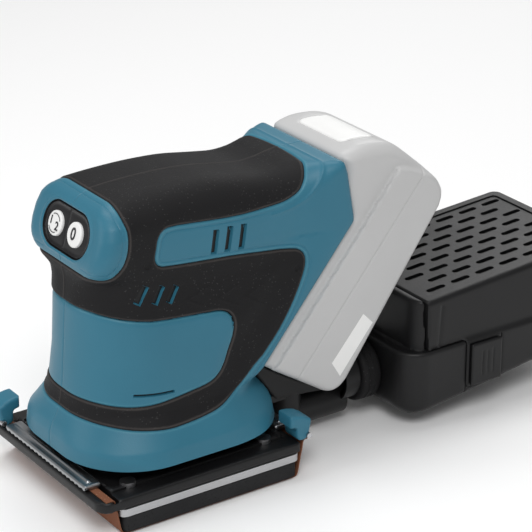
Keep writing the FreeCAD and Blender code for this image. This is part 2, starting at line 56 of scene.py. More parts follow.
def cadSpan(node):
    # low and high corner of a node, in millimetres
    low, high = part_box(node)
    return np.array(low) / mm, np.array(high) / mm


def soft(low, high, value):
    t = np.clip((value - low) / (high - low), 0, 1)
    return t * t * (3 - 2 * t)


def outlineField(x, z, outline):
    # distance to a closed side-view outline, negative inside
    x, z = np.broadcast_arrays(x, z)
    nearest = np.full(x.shape, 1e9)
    inside = np.zeros(x.shape, bool)
    for (ax, az), (bx, bz) in zip(outline, outline[1:] + outline[:1]):
        ex, ez = bx - ax, bz - az
        t = np.clip(((x - ax) * ex + (z - az) * ez) / (ex * ex + ez * ez), 0, 1)
        nearest = np.minimum(nearest, np.hypot(x - ax - t * ex, z - az - t * ez))
        if az != bz:
            inside ^= ((az > z) != (bz > z)) & (x < ax + (z - az) * ex / (bz - az))
    return np.where(inside, -nearest, nearest)


def lineField(x, z, start, end):
    # distance to a short straight stretch in the side view
    ex, ez = end[0] - start[0], end[1] - start[1]
    t = np.clip(((x - start[0]) * ex + (z - start[1]) * ez) / (ex * ex + ez * ez), 0, 1)
    return np.hypot(x - start[0] - t * ex, z - start[1] - t * ez)


def curved(points, steps=5, closed=True):
    # an outline through a few points, rounded between them
    p = np.array(points, float)
    n = len(p)
    out = []
    for i in range(n if closed else n - 1):
        a, b, c, d = (p[(i + k) % n] if closed else p[min(max(i + k, 0), n - 1)] for k in (-1, 0, 1, 2))
        for t in np.arange(steps) / steps:
            q = 2 * b + (c - a) * t + (2 * a - 5 * b + 4 * c - d) * t * t + (3 * b - a - 3 * c + d) * t ** 3
            out.append(tuple(q / 2))
    if not closed:
        out.append(tuple(p[-1]))
    return out


def roundMeet(a, b, r):
    # where two walls meet, rounded by r
    return np.minimum(-r, np.maximum(a, b)) + np.hypot(np.maximum(a + r, 0), np.maximum(b + r, 0))


def fieldMesh(field, low, high, step):
    # corner points and triangles of the surface where a field is zero
    axes = [np.arange(a, b + step, step) for a, b in zip(low, high)]
    x, y, z = axes[0][:, None, None], axes[1][None, :, None], axes[2][None, None, :]
    values = np.broadcast_to(field(x, y, z), [len(axis) for axis in axes])
    grid = openvdb.FloatGrid(4.0)
    grid.copyFromArray(np.ascontiguousarray(np.clip(values, -4, 4), dtype=np.float32))
    points, triangles, quads = grid.convertToPolygons(0.0, 0.0)
    points = points.astype(float) * step + np.array([axis[0] for axis in axes])
    halves = [quads[:, [0, 1, 2]], quads[:, [0, 2, 3]]]
    faces = np.vstack([np.array(triangles).reshape(-1, 3)] + halves).astype(int)
    points = settle(field, points)
    return points, outward(field, points, faces)


def slope(field, points, reach=0.05):
    # direction in which a field grows
    out = np.zeros_like(points)
    for k in range(3):
        push = np.zeros(3)
        push[k] = reach
        out[:, k] = field(*(points + push).T) - field(*(points - push).T)
    return out / np.maximum(np.linalg.norm(out, axis=1), 1e-9)[:, None]


def settle(field, points, rounds=2):
    # move points onto the surface
    for _ in range(rounds):
        points = points - slope(field, points) * np.clip(field(*points.T), -0.6, 0.6)[:, None]
    return points


def outward(field, points, faces):
    a, b, c = (points[faces[:, k]] for k in range(3))
    facing = np.cross(b - a, c - a)
    keep = np.linalg.norm(facing, axis=1) > 1e-7
    wrong = (facing * slope(field, (a + b + c) / 3)).sum(1)[keep].sum() < 0
    faces = faces[keep]
    return faces[:, ::-1] if wrong else faces


def cutAlong(points, faces, values, level):
    # split the triangles where a value crosses a level, so that edges run along it
    v = values - level
    v = np.where(np.abs(v) < 1e-6, 1e-6, v)
    above = v > 0
    count = above[faces].sum(1)
    mixed = (count == 1) | (count == 2)
    part = faces[mixed]
    signs = above[part]
    alone = np.where(count[mixed] == 1, signs.argmax(1), (~signs).argmax(1))
    rows = np.arange(len(part))
    p, q, r = (part[rows, (alone + k) % 3] for k in range(3))
    pairs = np.sort(np.vstack([np.stack([p, q], 1), np.stack([p, r], 1)]), axis=1)
    edges, where = np.unique(pairs, axis=0, return_inverse=True)
    where = where.ravel() + len(points)
    i, j = edges[:, 0], edges[:, 1]
    t = (v[i] / (v[i] - v[j]))[:, None]
    added = points[i] + t * (points[j] - points[i])
    pq, pr = where[:len(part)], where[len(part):]
    new = [np.stack(k, 1) for k in ((p, pq, pr), (pq, q, r), (pq, r, pr))]
    return np.vstack([points, added]), np.vstack([faces[~mixed]] + new)


def placed(name, data):
    # an object in the scene that shows the given data
    thing = bpy.data.objects.new(name, data)
    bpy.context.scene.collection.objects.link(thing)
    return thing


def plainPiece(name, points, faces):
    # an object from points in millimetres and faces, as they are
    mesh = bpy.data.meshes.new(name)
    mesh.from_pydata([[v * mm for v in point] for point in points], [], faces)
    return placed(name, mesh)


def pieceFrom(name, points, faces, values=None, sharp=40):
    # a mesh object from points in millimetres; unused points are left out
    used, flat = np.unique(faces.ravel(), return_inverse=True)
    mesh = bpy.data.meshes.new(name)
    mesh.from_pydata((points[used] * mm).tolist(), [], flat.reshape(-1, 3).tolist())
    for label, numbers in (values or {}).items():
        layer = mesh.attributes.new(label, "FLOAT", "POINT")
        layer.data.foreach_set("value", numbers[used].astype(np.float32))
    mesh.validate()
    smoothShade(mesh, sharp)
    return placed(name, mesh)


def smoothShade(mesh, sharp=40):
    mesh.shade_smooth()
    mesh.set_sharp_from_angle(angle=math.radians(sharp))


def applied(piece):
    # the piece with its modifiers made plain mesh
    depsgraph = bpy.context.evaluated_depsgraph_get()
    mesh = bpy.data.meshes.new_from_object(piece.evaluated_get(depsgraph), depsgraph=depsgraph)
    mesh.name = piece.name
    piece.modifiers.clear()
    piece.data = mesh
    return piece


def walled(piece, thick, sharp=40):
    # give an open skin its wall, inwards
    wall = piece.modifiers.new("wall", "SOLIDIFY")
    wall.thickness = thick * mm
    wall.offset = -1
    applied(piece)
    smoothShade(piece.data, sharp)
    return piece


def finishPiece(piece, body, slotName, material, *replaced):
    piece.data.materials.clear()
    piece.data.materials.append(material)
    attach(piece, body)
    if replaced:
        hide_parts(*replaced)
    return piece


def newGroup(name, inputs, outputs):
    group = bpy.data.node_groups.new(name, "ShaderNodeTree")
    for label, kind, start in inputs:
        socket = group.interface.new_socket(label, in_out="INPUT", socket_type=kind)
        if start is not None:
            socket.default_value = start
    for label, kind in outputs:
        group.interface.new_socket(label, in_out="OUTPUT", socket_type=kind)
    start = group.nodes.new("NodeGroupInput")
    end = group.nodes.new("NodeGroupOutput")
    return group, start, end


def mathNode(tree, operation, a, b=None, clamp=False):
    node = tree.nodes.new("ShaderNodeMath")
    node.operation = operation
    node.use_clamp = clamp
    for socket, value in zip(node.inputs, (a, b)):
        if value is None:
            continue
        if isinstance(value, (int, float)):
            socket.default_value = value
        else:
            tree.links.new(value, socket)
    return node.outputs[0]


def mixColours(tree, factor, a, b):
    node = tree.nodes.new("ShaderNodeMix")
    node.data_type = "RGBA"
    for socket, value in ((node.inputs[0], factor), (node.inputs[6], a), (node.inputs[7], b)):
        if isinstance(value, (int, float)):
            socket.default_value = value
        elif isinstance(value, (tuple, list)):
            socket.default_value = (*value[:3], 1)
        else:
            tree.links.new(value, socket)
    return node.outputs[2]


def noise(tree, place, scale, detail=3.0, rough=0.55):
    node = tree.nodes.new("ShaderNodeTexNoise")
    node.inputs["Scale"].default_value = scale
    node.inputs["Detail"].default_value = detail
    node.inputs["Roughness"].default_value = rough
    tree.links.new(place, node.inputs["Vector"])
    return node.outputs["Fac"]


def makeGrainGroup():
    # spark-eroded mould grain: a height and a slow unevenness of gloss and tone
    group, start, end = newGroup(
        "mouldGrain",
        [("Place", "NodeSocketVector", None), ("Grain Size", "NodeSocketFloat", 1.0)],
        [("Height", "NodeSocketFloat"), ("Tone", "NodeSocketFloat")])
    scaled = group.nodes.new("ShaderNodeVectorMath")
    scaled.operation = "SCALE"
    group.links.new(start.outputs["Place"], scaled.inputs[0])
    group.links.new(start.outputs["Grain Size"], scaled.inputs["Scale"])
    cells = group.nodes.new("ShaderNodeTexVoronoi")
    cells.inputs["Scale"].default_value = 1300.0
    group.links.new(scaled.outputs[0], cells.inputs["Vector"])
    fine = noise(group, scaled.outputs[0], 2400.0, 2.0)
    group.links.new(mathNode(group, "ADD", cells.outputs["Distance"], fine), end.inputs["Height"])
    group.links.new(noise(group, start.outputs["Place"], 34.0, 4.0), end.inputs["Tone"])
    return group


def makeDustGroup():
    # fine pale specks scattered over a dark soft surface
    group, start, end = newGroup(
        "fineSpecks",
        [("Place", "NodeSocketVector", None), ("Amount", "NodeSocketFloat", 0.5)],
        [("Mask", "NodeSocketFloat")])
    specks = group.nodes.new("ShaderNodeTexVoronoi")
    specks.inputs["Scale"].default_value = 620.0
    specks.inputs["Randomness"].default_value = 1.0
    group.links.new(start.outputs["Place"], specks.inputs["Vector"])
    near = mathNode(group, "LESS_THAN", specks.outputs["Distance"], 0.17)
    patches = noise(group, start.outputs["Place"], 60.0, 3.0)
    some = mathNode(group, "GREATER_THAN", patches, 0.5)
    chosen = mathNode(group, "MULTIPLY", near, some)
    group.links.new(mathNode(group, "MULTIPLY", chosen, start.outputs["Amount"]), end.inputs["Mask"])
    return group


def makeEdgeHighlightGroup():
    # painted highlight: slightly lighter edges from the skin's own edge attribute, broken up by noise
    group, start, end = newGroup(
        "paintedEdgeHighlight",
        [("Edge", "NodeSocketFloat", 0.0), ("Place", "NodeSocketVector", None),
         ("Strength", "NodeSocketFloat", 0.6)],
        [("Mask", "NodeSocketFloat")])
    breakUp = noise(group, start.outputs["Place"], 140.0, 4.0)
    uneven = mathNode(group, "MULTIPLY_ADD", breakUp, 0.7)
    uneven.node.inputs[2].default_value = 0.65
    paintedShine = mathNode(group, "MULTIPLY", start.outputs["Edge"], uneven)
    group.links.new(mathNode(group, "MULTIPLY", paintedShine, start.outputs["Strength"], True), end.inputs["Mask"])
    return group


grainGroup = makeGrainGroup()
dustGroup = makeDustGroup()
edgeHighlightGroup = makeEdgeHighlightGroup()


def useGroup(tree, group, **values):
    node = tree.nodes.new("ShaderNodeGroup")
    node.node_tree = group
    for label, value in values.items():
        socket = node.inputs[label.replace("_", " ")]
        if isinstance(value, (int, float)):
            socket.default_value = value
        else:
            tree.links.new(value, socket)
    return node


def plasticMaterial(name, dark, light, rough, **changes):
    # moulded plastic or rubber: grain, uneven tone, painted highlights on the lips at part edges, optional
    # specks
    look = {"roughSpread": 0.12, "grainSize": 1.0, "bump": 0.25, "lip": 0.0, "lipColour": light,
            "specks": 0.0, "speckColour": (0.4, 0.4, 0.4), "specular": 0.3, "metal": 0.0}
    look.update(changes)
    material = bpy.data.materials.new(name)
    material.use_nodes = True
    tree = material.node_tree
    shader = tree.nodes["Principled BSDF"]
    place = tree.nodes.new("ShaderNodeTexCoord").outputs["Object"]
    grain = useGroup(tree, grainGroup, Place=place, Grain_Size=look["grainSize"])
    colour = mixColours(tree, grain.outputs["Tone"], dark, light)
    # painted highlight along part edges and seams, from the edge attribute
    edge = tree.nodes.new("ShaderNodeAttribute")
    edge.attribute_name = "edge"
    lip = useGroup(tree, edgeHighlightGroup, Edge=edge.outputs["Fac"], Place=place, Strength=look["lip"])
    colour = mixColours(tree, lip.outputs["Mask"], colour, look["lipColour"])
    specks = useGroup(tree, dustGroup, Place=place, Amount=look["specks"])
    colour = mixColours(tree, specks.outputs["Mask"], colour, look["speckColour"])
    tree.links.new(colour, shader.inputs["Base Color"])
    dullness = mathNode(tree, "MULTIPLY_ADD", grain.outputs["Tone"], look["roughSpread"])
    dullness.node.inputs[2].default_value = rough - look["roughSpread"] / 2
    tree.links.new(dullness, shader.inputs["Roughness"])
    bump = tree.nodes.new("ShaderNodeBump")
    bump.inputs["Strength"].default_value = look["bump"]
    bump.inputs["Distance"].default_value = 0.00012
    tree.links.new(grain.outputs["Height"], bump.inputs["Height"])
    tree.links.new(bump.outputs["Normal"], shader.inputs["Normal"])
    shader.inputs["Specular IOR Level"].default_value = look["specular"]
    shader.inputs["Metallic"].default_value = look["metal"]
    return material


# the lip settings paint a lighter highlight along part edges and seams
tealPlastic = plasticMaterial("tealPlastic",
    (0.028, 0.145, 0.215), (0.034, 0.168, 0.245), 0.42, lip=0.55, lipColour=(0.10, 0.32, 0.40), bump=0.18)
gripRubber = plasticMaterial("gripRubber",
    (0.0060, 0.0058, 0.0065), (0.0095, 0.0092, 0.0100), 0.66, lip=0.6, lipColour=(0.075, 0.066, 0.062),
    bump=0.5, specks=0.45, speckColour=(0.08, 0.08, 0.08), grainSize=0.8, specular=0.22)
blackPlastic = plasticMaterial("blackPlastic",
    (0.0055, 0.0055, 0.0060), (0.0085, 0.0085, 0.0090), 0.40, lip=0.4, lipColour=(0.05, 0.05, 0.05))
panelPlastic = plasticMaterial("panelPlastic", (0.006, 0.006, 0.007), (0.009, 0.009, 0.010), 0.30, bump=0.08)
whitePlastic = plasticMaterial("whitePlastic", (0.80, 0.80, 0.79), (0.86, 0.86, 0.85), 0.32, bump=0.08)
markInk = plasticMaterial("markInk", (0.02, 0.02, 0.022), (0.03, 0.03, 0.032), 0.5, bump=0.1)
batteryPlastic = plasticMaterial("batteryPlastic",
    (0.49, 0.49, 0.49), (0.54, 0.54, 0.54), 0.34, bump=0.15)

foamFinish = plasticMaterial("foamFinish",
    (0.016, 0.016, 0.017), (0.035, 0.035, 0.036), 0.9, bump=1.0, grainSize=0.45, specks=0.8,
    speckColour=(0.005, 0.005, 0.005), specular=0.15)
abrasivePaper = plasticMaterial("abrasivePaper",
    (0.16, 0.055, 0.024), (0.26, 0.10, 0.05), 0.88, bump=1.0, grainSize=0.6, specks=1.0,
    speckColour=(0.42, 0.24, 0.15), specular=0.4)
turnedSteel = plasticMaterial("turnedSteel",
    (0.42, 0.42, 0.43), (0.56, 0.56, 0.57), 0.3, bump=0.12, grainSize=1.6, metal=1.0, specular=0.5)
bearingSteel = plasticMaterial("bearingSteel",
    (0.60, 0.60, 0.61), (0.70, 0.70, 0.71), 0.16, bump=0.03, metal=1.0, specular=0.5, roughSpread=0.05)
springSteel = plasticMaterial("springSteel",
    (0.30, 0.31, 0.32), (0.42, 0.43, 0.44), 0.32, bump=0.1, metal=1.0, specular=0.5, specks=0.25,
    speckColour=(0.12, 0.11, 0.10))
castAlloy = plasticMaterial("castAlloy",
    (0.44, 0.44, 0.45), (0.58, 0.58, 0.59), 0.5, bump=0.7, grainSize=0.5, metal=1.0, specular=0.5)
fanPlastic = plasticMaterial("fanPlastic", (0.30, 0.30, 0.31), (0.36, 0.36, 0.37), 0.5, bump=0.3)
boardFinish = plasticMaterial("boardFinish",
    (0.008, 0.075, 0.030), (0.012, 0.115, 0.045), 0.35, bump=0.15, specks=0.9, speckColour=(0.55, 0.50, 0.30))
cellWrap = plasticMaterial("cellWrap", (0.02, 0.10, 0.28), (0.03, 0.13, 0.34), 0.25, bump=0.05)
filterPaper = plasticMaterial("filterPaper",
    (0.60, 0.56, 0.46), (0.72, 0.69, 0.60), 0.92, bump=0.9, grainSize=0.35, specular=0.15)

housing = {
    "step": 1.2,            # mesh spacing
    "rubberRise": 0.5,      # soft cover above the hard shell
    "grooveDepth": 0.65,    # groove where the two meet
    "grooveWidth": 0.45,
    "wall": 2.4,
    "skirtEdge": 28.0,      # lower edge of the skirt
    "ventDepth": 1.7,
}
sideOutline = curved([
    (-60.5, -20), (-60.5, 28), (-59.5, 38), (-56, 45), (-53, 51.5), (-52.2, 58), (-50.5, 80), (-49, 103),
    (-48.2, 117), (-49.6, 124), (-50.2, 131), (-46.6, 143), (-42.3, 154), (-36, 158), (-28, 159.3),
    (-10, 160), (5, 159.9), (21, 158.9), (38, 156.2), (52, 154.2), (62, 154.6), (70, 156), (80, 157.2)],
    closed=False) + [
    (92, 157.2), (94.2, 155.6), (96, 150), (100.2, 126), (100.2, 123.4), (99, 121.6), (46, 57.5), (45, 55),
    (46, 52), (52, 44), (57, 36), (58, 28), (58, -20)]
batteryFoot = np.array([46, 57.5])
batteryRise = np.array([53.0, 64.1]) / np.hypot(53.0, 64.1)


# height, half width and corner rounding of the body; height and extra half width of the nose
bodyLevels = [
    (28, 53, 40), (36, 51.5, 40), (44, 46.5, 39), (51, 41.5, 37), (58, 40.2, 37), (75, 38.3, 37),
    (90, 36.4, 34), (103, 34.4, 31), (112, 33.2, 27), (120, 33.3, 22), (126, 34, 18), (135, 34.3, 16),
    (150, 33.8, 16), (160, 33, 16)]
noseBulge = [(104, 0), (112, -1.5), (120, -3), (126, -1), (132, 1.4), (138, 2.4), (144, 2.4), (150, 0.6),
             (156, -3.5), (160, -8)]


def depthFromBattery(x, z):
    # how far a point lies in front of the face that carries the battery
    slant = (z - batteryFoot[1]) * batteryRise[0] - (x - batteryFoot[0]) * batteryRise[1]
    return np.where(z > 122, 96 - x, slant)


def housingField(x, y, z):
    heights, widths, roundings = zip(*bodyLevels)
    halfWidth = np.interp(z, heights, widths)
    rounding = np.interp(z, heights, roundings)
    nose = 1 - soft(-42, -22, x)
    halfWidth = halfWidth + np.interp(z, *zip(*noseBulge)) * nose
    rounding = rounding + (9 - rounding) * nose * soft(117, 128, z)
    ahead = depthFromBattery(x, z)
    nearFace = (1 - soft(4, 34, ahead)) * soft(45, 58, z)
    halfWidth = halfWidth + (37.3 - halfWidth) * nearFace
    edgeFace = (1 - soft(2, 26, ahead)) * soft(45, 58, z)
    rounding = rounding + (4 - rounding) * edgeFace
    side = outlineField(x, z, sideOutline)
    return roundMeet(side, np.abs(y) - halfWidth, rounding)


noseOutline = curved([(-33.6, 166), (-33.4, 154), (-32.4, 147), (-32.8, 140), (-34.4, 133.9), (-37, 128.6),
                      (-41.2, 124.9), (-46, 123.6), (-54, 125)], closed=False) + [(-80, 125), (-80, 166)]
panelOutline = curved([
    (-56, 104.5), (-49, 104.2), (-38.8, 101.8), (-29.5, 99.9), (-18, 98), (-3, 96.5), (10.5, 95.4),
    (19.5, 94.2), (24.3, 91.2), (25.9, 86.2), (24.9, 80), (22.2, 73.4), (19.2, 66.6), (15.4, 62.2),
    (8.8, 59.4), (-4.2, 57.7), (-15.6, 56.7), (-27.7, 56), (-38.2, 56.2), (-50, 57.3), (-56, 57.7)],
    closed=False) + [(-80, 57.7), (-80, 104.5)]
frameOutline = curved([
    (27, 20), (28, 42), (34, 53.6), (42.6, 63.8), (53.1, 76), (61.2, 88.6), (66.6, 99.6), (69.2, 106.5),
    (69.4, 111.6), (66.6, 115.2), (61.4, 116.7), (47.7, 118.4), (27.8, 120.8), (8.4, 122.6), (-7, 124.2),
    (-14.6, 125.6), (-17.3, 129.4), (-16.6, 135), (-15.2, 140.5), (-11.6, 144.2), (-5, 144.6), (0.8, 144.1),
    (27.7, 141.8), (47.7, 141.9), (60, 142.8), (68.4, 145.6), (73.6, 150), (76.8, 154.5), (79.2, 159),
    (81, 166)], closed=False) + [(140, 166), (140, 20)]
skirtOutline = curved([
    (-56, 48.8), (-45.9, 47.2), (-34, 45.6), (-18, 44.5), (-8, 44.7), (2, 45.4), (12, 46.8), (20, 48.8),
    (27, 51.8), (33, 56), (38, 60.4), (44, 65)], closed=False) + [
    (90, 65), (90, -30), (-90, -30), (-90, 48.8)]


def sideOf(outline):
    # distance to an outline, for points
    def distance(points):
        return outlineField(points[:, 0], points[:, 2], outline)
    return distance


def onlyWhere(chosen, value):
    return np.where(chosen, value, 50.0)


def hump(distance, width, height):
    # a rounded ridge along a line, or a groove where the height is negative
    return height * np.exp(-(distance / width) ** 2)


def tealField(points):
    # negative on the hard teal shell, positive on the soft black cover
    x, y, z = points.T
    back = x + 0.0042 * y * y * soft(136, 162, z) * soft(30, 60, x)
    nose = outlineField(x, z, noseOutline)
    panel = outlineField(x, z, panelOutline)
    rear = outlineField(back, z, frameOutline)
    skirt = outlineField(x, z, skirtOutline)
    return nose, panel, rear, skirt


upperVents = [((17.6, 137.4), (16.0, 124.4)), ((25.8, 137.4), (24.0, 124.0)), ((33.8, 136.8), (32.2, 123.4))]
lowerVents = [((-22.8, 117.2), (-27.7, 108.4)), ((-13.6, 115.2), (-18.6, 106.8)),
              ((-5.6, 113.4), (-10.6, 105.6))]
dimples = [(-21.9, 127.9, 2.0), (64.6, 105.9, 1.6)]
thinSlot = ((-32.4, 61.8), (-11.4, 60.6))
allSlots = [(upperVents, 1.8), (lowerVents, 1.9), ([thinSlot], 0.8)]
chevrons = [((12.8, 108.2), (-0.6, 104.6), (13.0, 97.2)), ((29.1, 105.2), (17.4, 101.2), (29.6, 94.4)),
            ((44.2, 102.2), (33.2, 98.2), (43.6, 91.6))]

panelLean = math.radians(18.4)
panelOut = np.array([-math.cos(panelLean), 0, math.sin(panelLean)])
panelUp = np.array([math.sin(panelLean), 0, math.cos(panelLean)])
switchPanel = {"halfLength": 9.9, "radius": 11.7, "middle": np.array([-46.5, 0, 141.2])}


def switchField(points):
    # distance to the rounded outline of the switch panel, negative inside
    local = points - switchPanel["middle"]
    across = np.maximum(np.abs(local[:, 1] + 0.9) - switchPanel["halfLength"], 0)
    near = np.hypot(across, local @ panelUp) - switchPanel["radius"]
    return onlyWhere(points[:, 0] < -30, near)


def slotField(x, z, slots, halfWidth):
    # distance to straight slots with squared ends, negative inside
    near = 50.0
    for start, end in slots:
        length = math.dist(start, end)
        ex, ez = (end[0] - start[0]) / length, (end[1] - start[1]) / length
        along = (x - start[0]) * ex + (z - start[1]) * ez
        across = (x - start[0]) * ez - (z - start[1]) * ex
        slot = np.maximum(np.abs(along - length / 2) - length / 2, np.abs(across) - halfWidth)
        near = np.minimum(near, slot)
    return near


def onSides(points, value):
    return onlyWhere(np.abs(points[:, 1]) > 18, value)


def ventField(points):
    x, y, z = points.T
    near = [slotField(x, z, slots, halfWidth) for slots, halfWidth in allSlots]
    return onSides(points, np.min(near, axis=0))


def cutSlots(points, faces):
    # edges along every slot's sides, floor and ends
    for slots, halfWidth in allSlots:
        for start, end in slots:
            length = math.dist(start, end)
            ex, ez = (end[0] - start[0]) / length, (end[1] - start[1]) / length
            inner = min(0.45, halfWidth * 0.6)
            for isAcross, levels in (
                    (True, (-halfWidth, inner - halfWidth, 0, halfWidth - inner, halfWidth)),
                    (False, (0, inner, length - inner, length))):
                for level in levels:
                    x, z = points[:, 0] - start[0], points[:, 2] - start[1]
                    along, across = x * ex + z * ez, x * ez - z * ex
                    # away from the slot the value climbs, so that each cut closes on itself
                    beyond = np.maximum(np.abs(along - length / 2) - length / 2 - 1.5, 0)
                    beyond = beyond + np.maximum(np.abs(across) - halfWidth - 1.5, 0)
                    value = (across if isAcross else along) + 2 * beyond
                    points, faces = cutAlong(points, faces, onSides(points, value), level)
    return points, faces


def tealEdge(points):
    return np.min(tealField(points), axis=0)


def markField(points):
    near = [np.hypot(points[:, 0] - a, points[:, 2] - b) - r for a, b, r in dimples]
    return onSides(points, np.min(near, axis=0))


def foldField(points):
    x, y, z = points.T
    near = [np.minimum(lineField(x, z, a, b), lineField(x, z, b, c)) for a, b, c in chevrons]
    return onSides(points, np.min(near, axis=0))


rearOutline = sideOf(frameOutline)


def seamLine(points):
    return points[:, 1]


def noseLine(points):
    return sideOf(noseOutline)(points) + 3.6


def rearLine(points):
    return onlyWhere((points[:, 0] > 50) & (points[:, 2] > 134), rearOutline(points) + 4.4)


def innerLine(points):
    return onlyWhere(points[:, 2] > 50, rearOutline(points) + 2.4)


def innerFade(points):
    return 1 - soft(30, 62, points[:, 0]) * soft(126, 142, points[:, 2])


def panelTop(points):
    return np.where(points[:, 2] > 84, sideOf(panelOutline)(points), 9.0)


# every line on the skin: its distance, and the levels at which edges are cut along it
skinLines = {
    "teal": (tealEdge, (-0.9, -0.35, 0, 0.35, 0.8, 1.6)),
    "seam": (seamLine, (-0.35, 0, 0.35)),
    "marks": (markField, (-0.3, 0.25)),
    "switch": (switchField, (-1.5, -1.1, -0.7, -0.3, 0, 0.5, 1.3)),
    "noseLine": (noseLine, (-0.4, 0, 0.4)),
    "rearLine": (rearLine, (-0.5, 0, 0.5)),
    "innerLine": (innerLine, (-0.35, 0, 0.35)),
    "folds": (foldField, (0.3, 0.8)),
    "panelTop": (panelTop, (-3.2, -1.8)),
    "vents": (ventField, ()),
    "innerFade": (innerFade, ()),
}


def housingShift(values):
    # how far the skin stands out from the plain form
    teal, seam, switch, top = (values[label] for label in ("teal", "seam", "switch", "panelTop"))
    out = housing["rubberRise"] * soft(0.1, 1.5, teal)
    out += hump(teal, housing["grooveWidth"], -housing["grooveDepth"])
    out += hump(seam, 0.32, 0.22) * (teal > 0.6) + hump(seam, 0.28, -0.28) * (teal < -0.6)
    out += hump(values["noseLine"], 0.35, -0.25) * (switch > 4)
    out += hump(values["rearLine"], 0.7, 0.4)
    out += hump(values["innerLine"], 0.32, -0.28) * values["innerFade"]
    out -= 0.9 * np.clip(1 + top / 3.2, 0, 1) ** 2 * (top < 0)
    out += hump(values["folds"], 0.55, 0.28)
    out -= 0.5 * (1 - soft(-0.3, 0.25, values["marks"]))
    out -= housing["ventDepth"] * (1 - soft(-0.42, 0.0, values["vents"]))
    out += hump(switch - 0.9, 0.7, 0.5) + hump(switch + 1.1, 0.45, 0.7)
    out -= 1.1 * (1 - soft(-0.35, 0.15, switch))
    return out


def buildHousingSkin():
    step = housing["step"] * 1
    points, faces = fieldMesh(housingField, (-64, -56, 22), (104, 56, 164), step)
    for distance, levels in skinLines.values():
        for level in levels:
            points, faces = cutAlong(points, faces, distance(points), level)
    points, faces = cutSlots(points, faces)
    points, faces = cutAlong(points, faces, points[:, 2], housing["skirtEdge"])
    points = settle(housingField, points, 1)
    values = {label: distance(points) for label, (distance, levels) in skinLines.items()}
    shifted = points + slope(housingField, points) * housingShift(values)[:, None]
    # edge: where the painted highlight lies, on both sides of the teal boundary and along the rubber's seam
    values["edge"] = hump(values["teal"] - 0.75, 0.4, 1) + hump(values["teal"] + 0.8, 0.4, 0.5)
    values["edge"] += hump(values["seam"], 0.3, 0.9) * (values["teal"] > 0.8)
    return shifted, faces, values


print("housing skin")
skinPoints, skinFaces, skinValues = buildHousingSkin()
faceMean = {label: skinValues[label][skinFaces].mean(1) for label in ("teal", "switch", "vents")}
faceMiddle = skinPoints[skinFaces].mean(1)
isKept = faceMiddle[:, 2] > housing["skirtEdge"]
isSwitch = faceMean["switch"] < 0
isVent = (faceMean["vents"] < -0.44) & ~isSwitch
isVentWall = (faceMean["vents"] < -0.02) & ~isVent
isTeal = ((faceMean["teal"] < 0) | isVentWall) & ~isSwitch & ~isVent
isSkirt = isTeal & (sideOf(skirtOutline)(faceMiddle) < 0)
isLeft = faceMiddle[:, 1] < 0


def skinPiece(name, chosen, body, slotName, material, *replaced):
    piece = pieceFrom(name, skinPoints, skinFaces[chosen & isKept], {"edge": skinValues["edge"]})
    walled(piece, housing["wall"])
    return finishPiece(piece, body, slotName, material, *replaced)


skinPiece("housingShellLeft", isTeal & ~isSkirt & isLeft, "housing", "shell", tealPlastic, "housing_left")
skinPiece("housingShellRight", isTeal & ~isSkirt & ~isLeft, "housing", "shell", tealPlastic, "housing_right")
skinPiece("skirtShell", isSkirt, "housing", "shell", tealPlastic, "skirt")
skinPiece("softCover", ~isTeal & ~isSwitch & ~isVent, "housing", "grip_rubber", gripRubber,
          "handle_grip", "neck_band")
skinPiece("switchPlate", isSwitch, "housing", "panel_plastic", panelPlastic, "switch_panel")
# painted shade: the black floors of the shallow vent dents stand in for the dark inside of the open vents
skinPiece("ventShadeFloors", isVent, "housing", "black_plastic", blackPlastic)
print("housing pieces", len(skinFaces), "triangles")


def boxField(x, y, z, low, high, r):
    # distance to a box with rounded edges
    gaps = [np.abs(v - (a + b) / 2) - (b - a) / 2 + r for v, a, b in zip((x, y, z), low, high)]
    outer = np.sqrt(sum(np.maximum(gap, 0) ** 2 for gap in gaps))
    return outer + np.minimum(np.maximum(np.maximum(gaps[0], gaps[1]), gaps[2]), 0) - r


def planField(x, y, low, high, r):
    # distance to a rounded rectangle seen from above
    gapX = np.abs(x - (low[0] + high[0]) / 2) - (high[0] - low[0]) / 2
    gapY = np.abs(y - (low[1] + high[1]) / 2) - (high[1] - low[1]) / 2
    return roundMeet(gapX, gapY, r)


def marked(field, points, faces, marks):
    # grooves, ridges and pockets: each mark is a distance, a width, a depth and a kind
    for far, width, depth, kind in marks:
        for level in (-width, 0, width) if kind == "line" else (-width, 0):
            points, faces = cutAlong(points, faces, far(points), level)
    points = settle(field, points, 1)
    shift = np.zeros(len(points))
    for far, width, depth, kind in marks:
        distance = far(points)
        shift += hump(distance, width, depth) if kind == "line" else depth * (1 - soft(-width, 0, distance))
    return points + slope(field, points) * shift[:, None], faces


def fieldPiece(name, field, low, high, step, marks=()):
    step = step * 1
    margin = 2 * step
    points, faces = fieldMesh(field, [v - margin for v in low], [v + margin for v in high], step)
    if marks:
        points, faces = marked(field, points, faces, marks)
    return pieceFrom(name, points, faces)


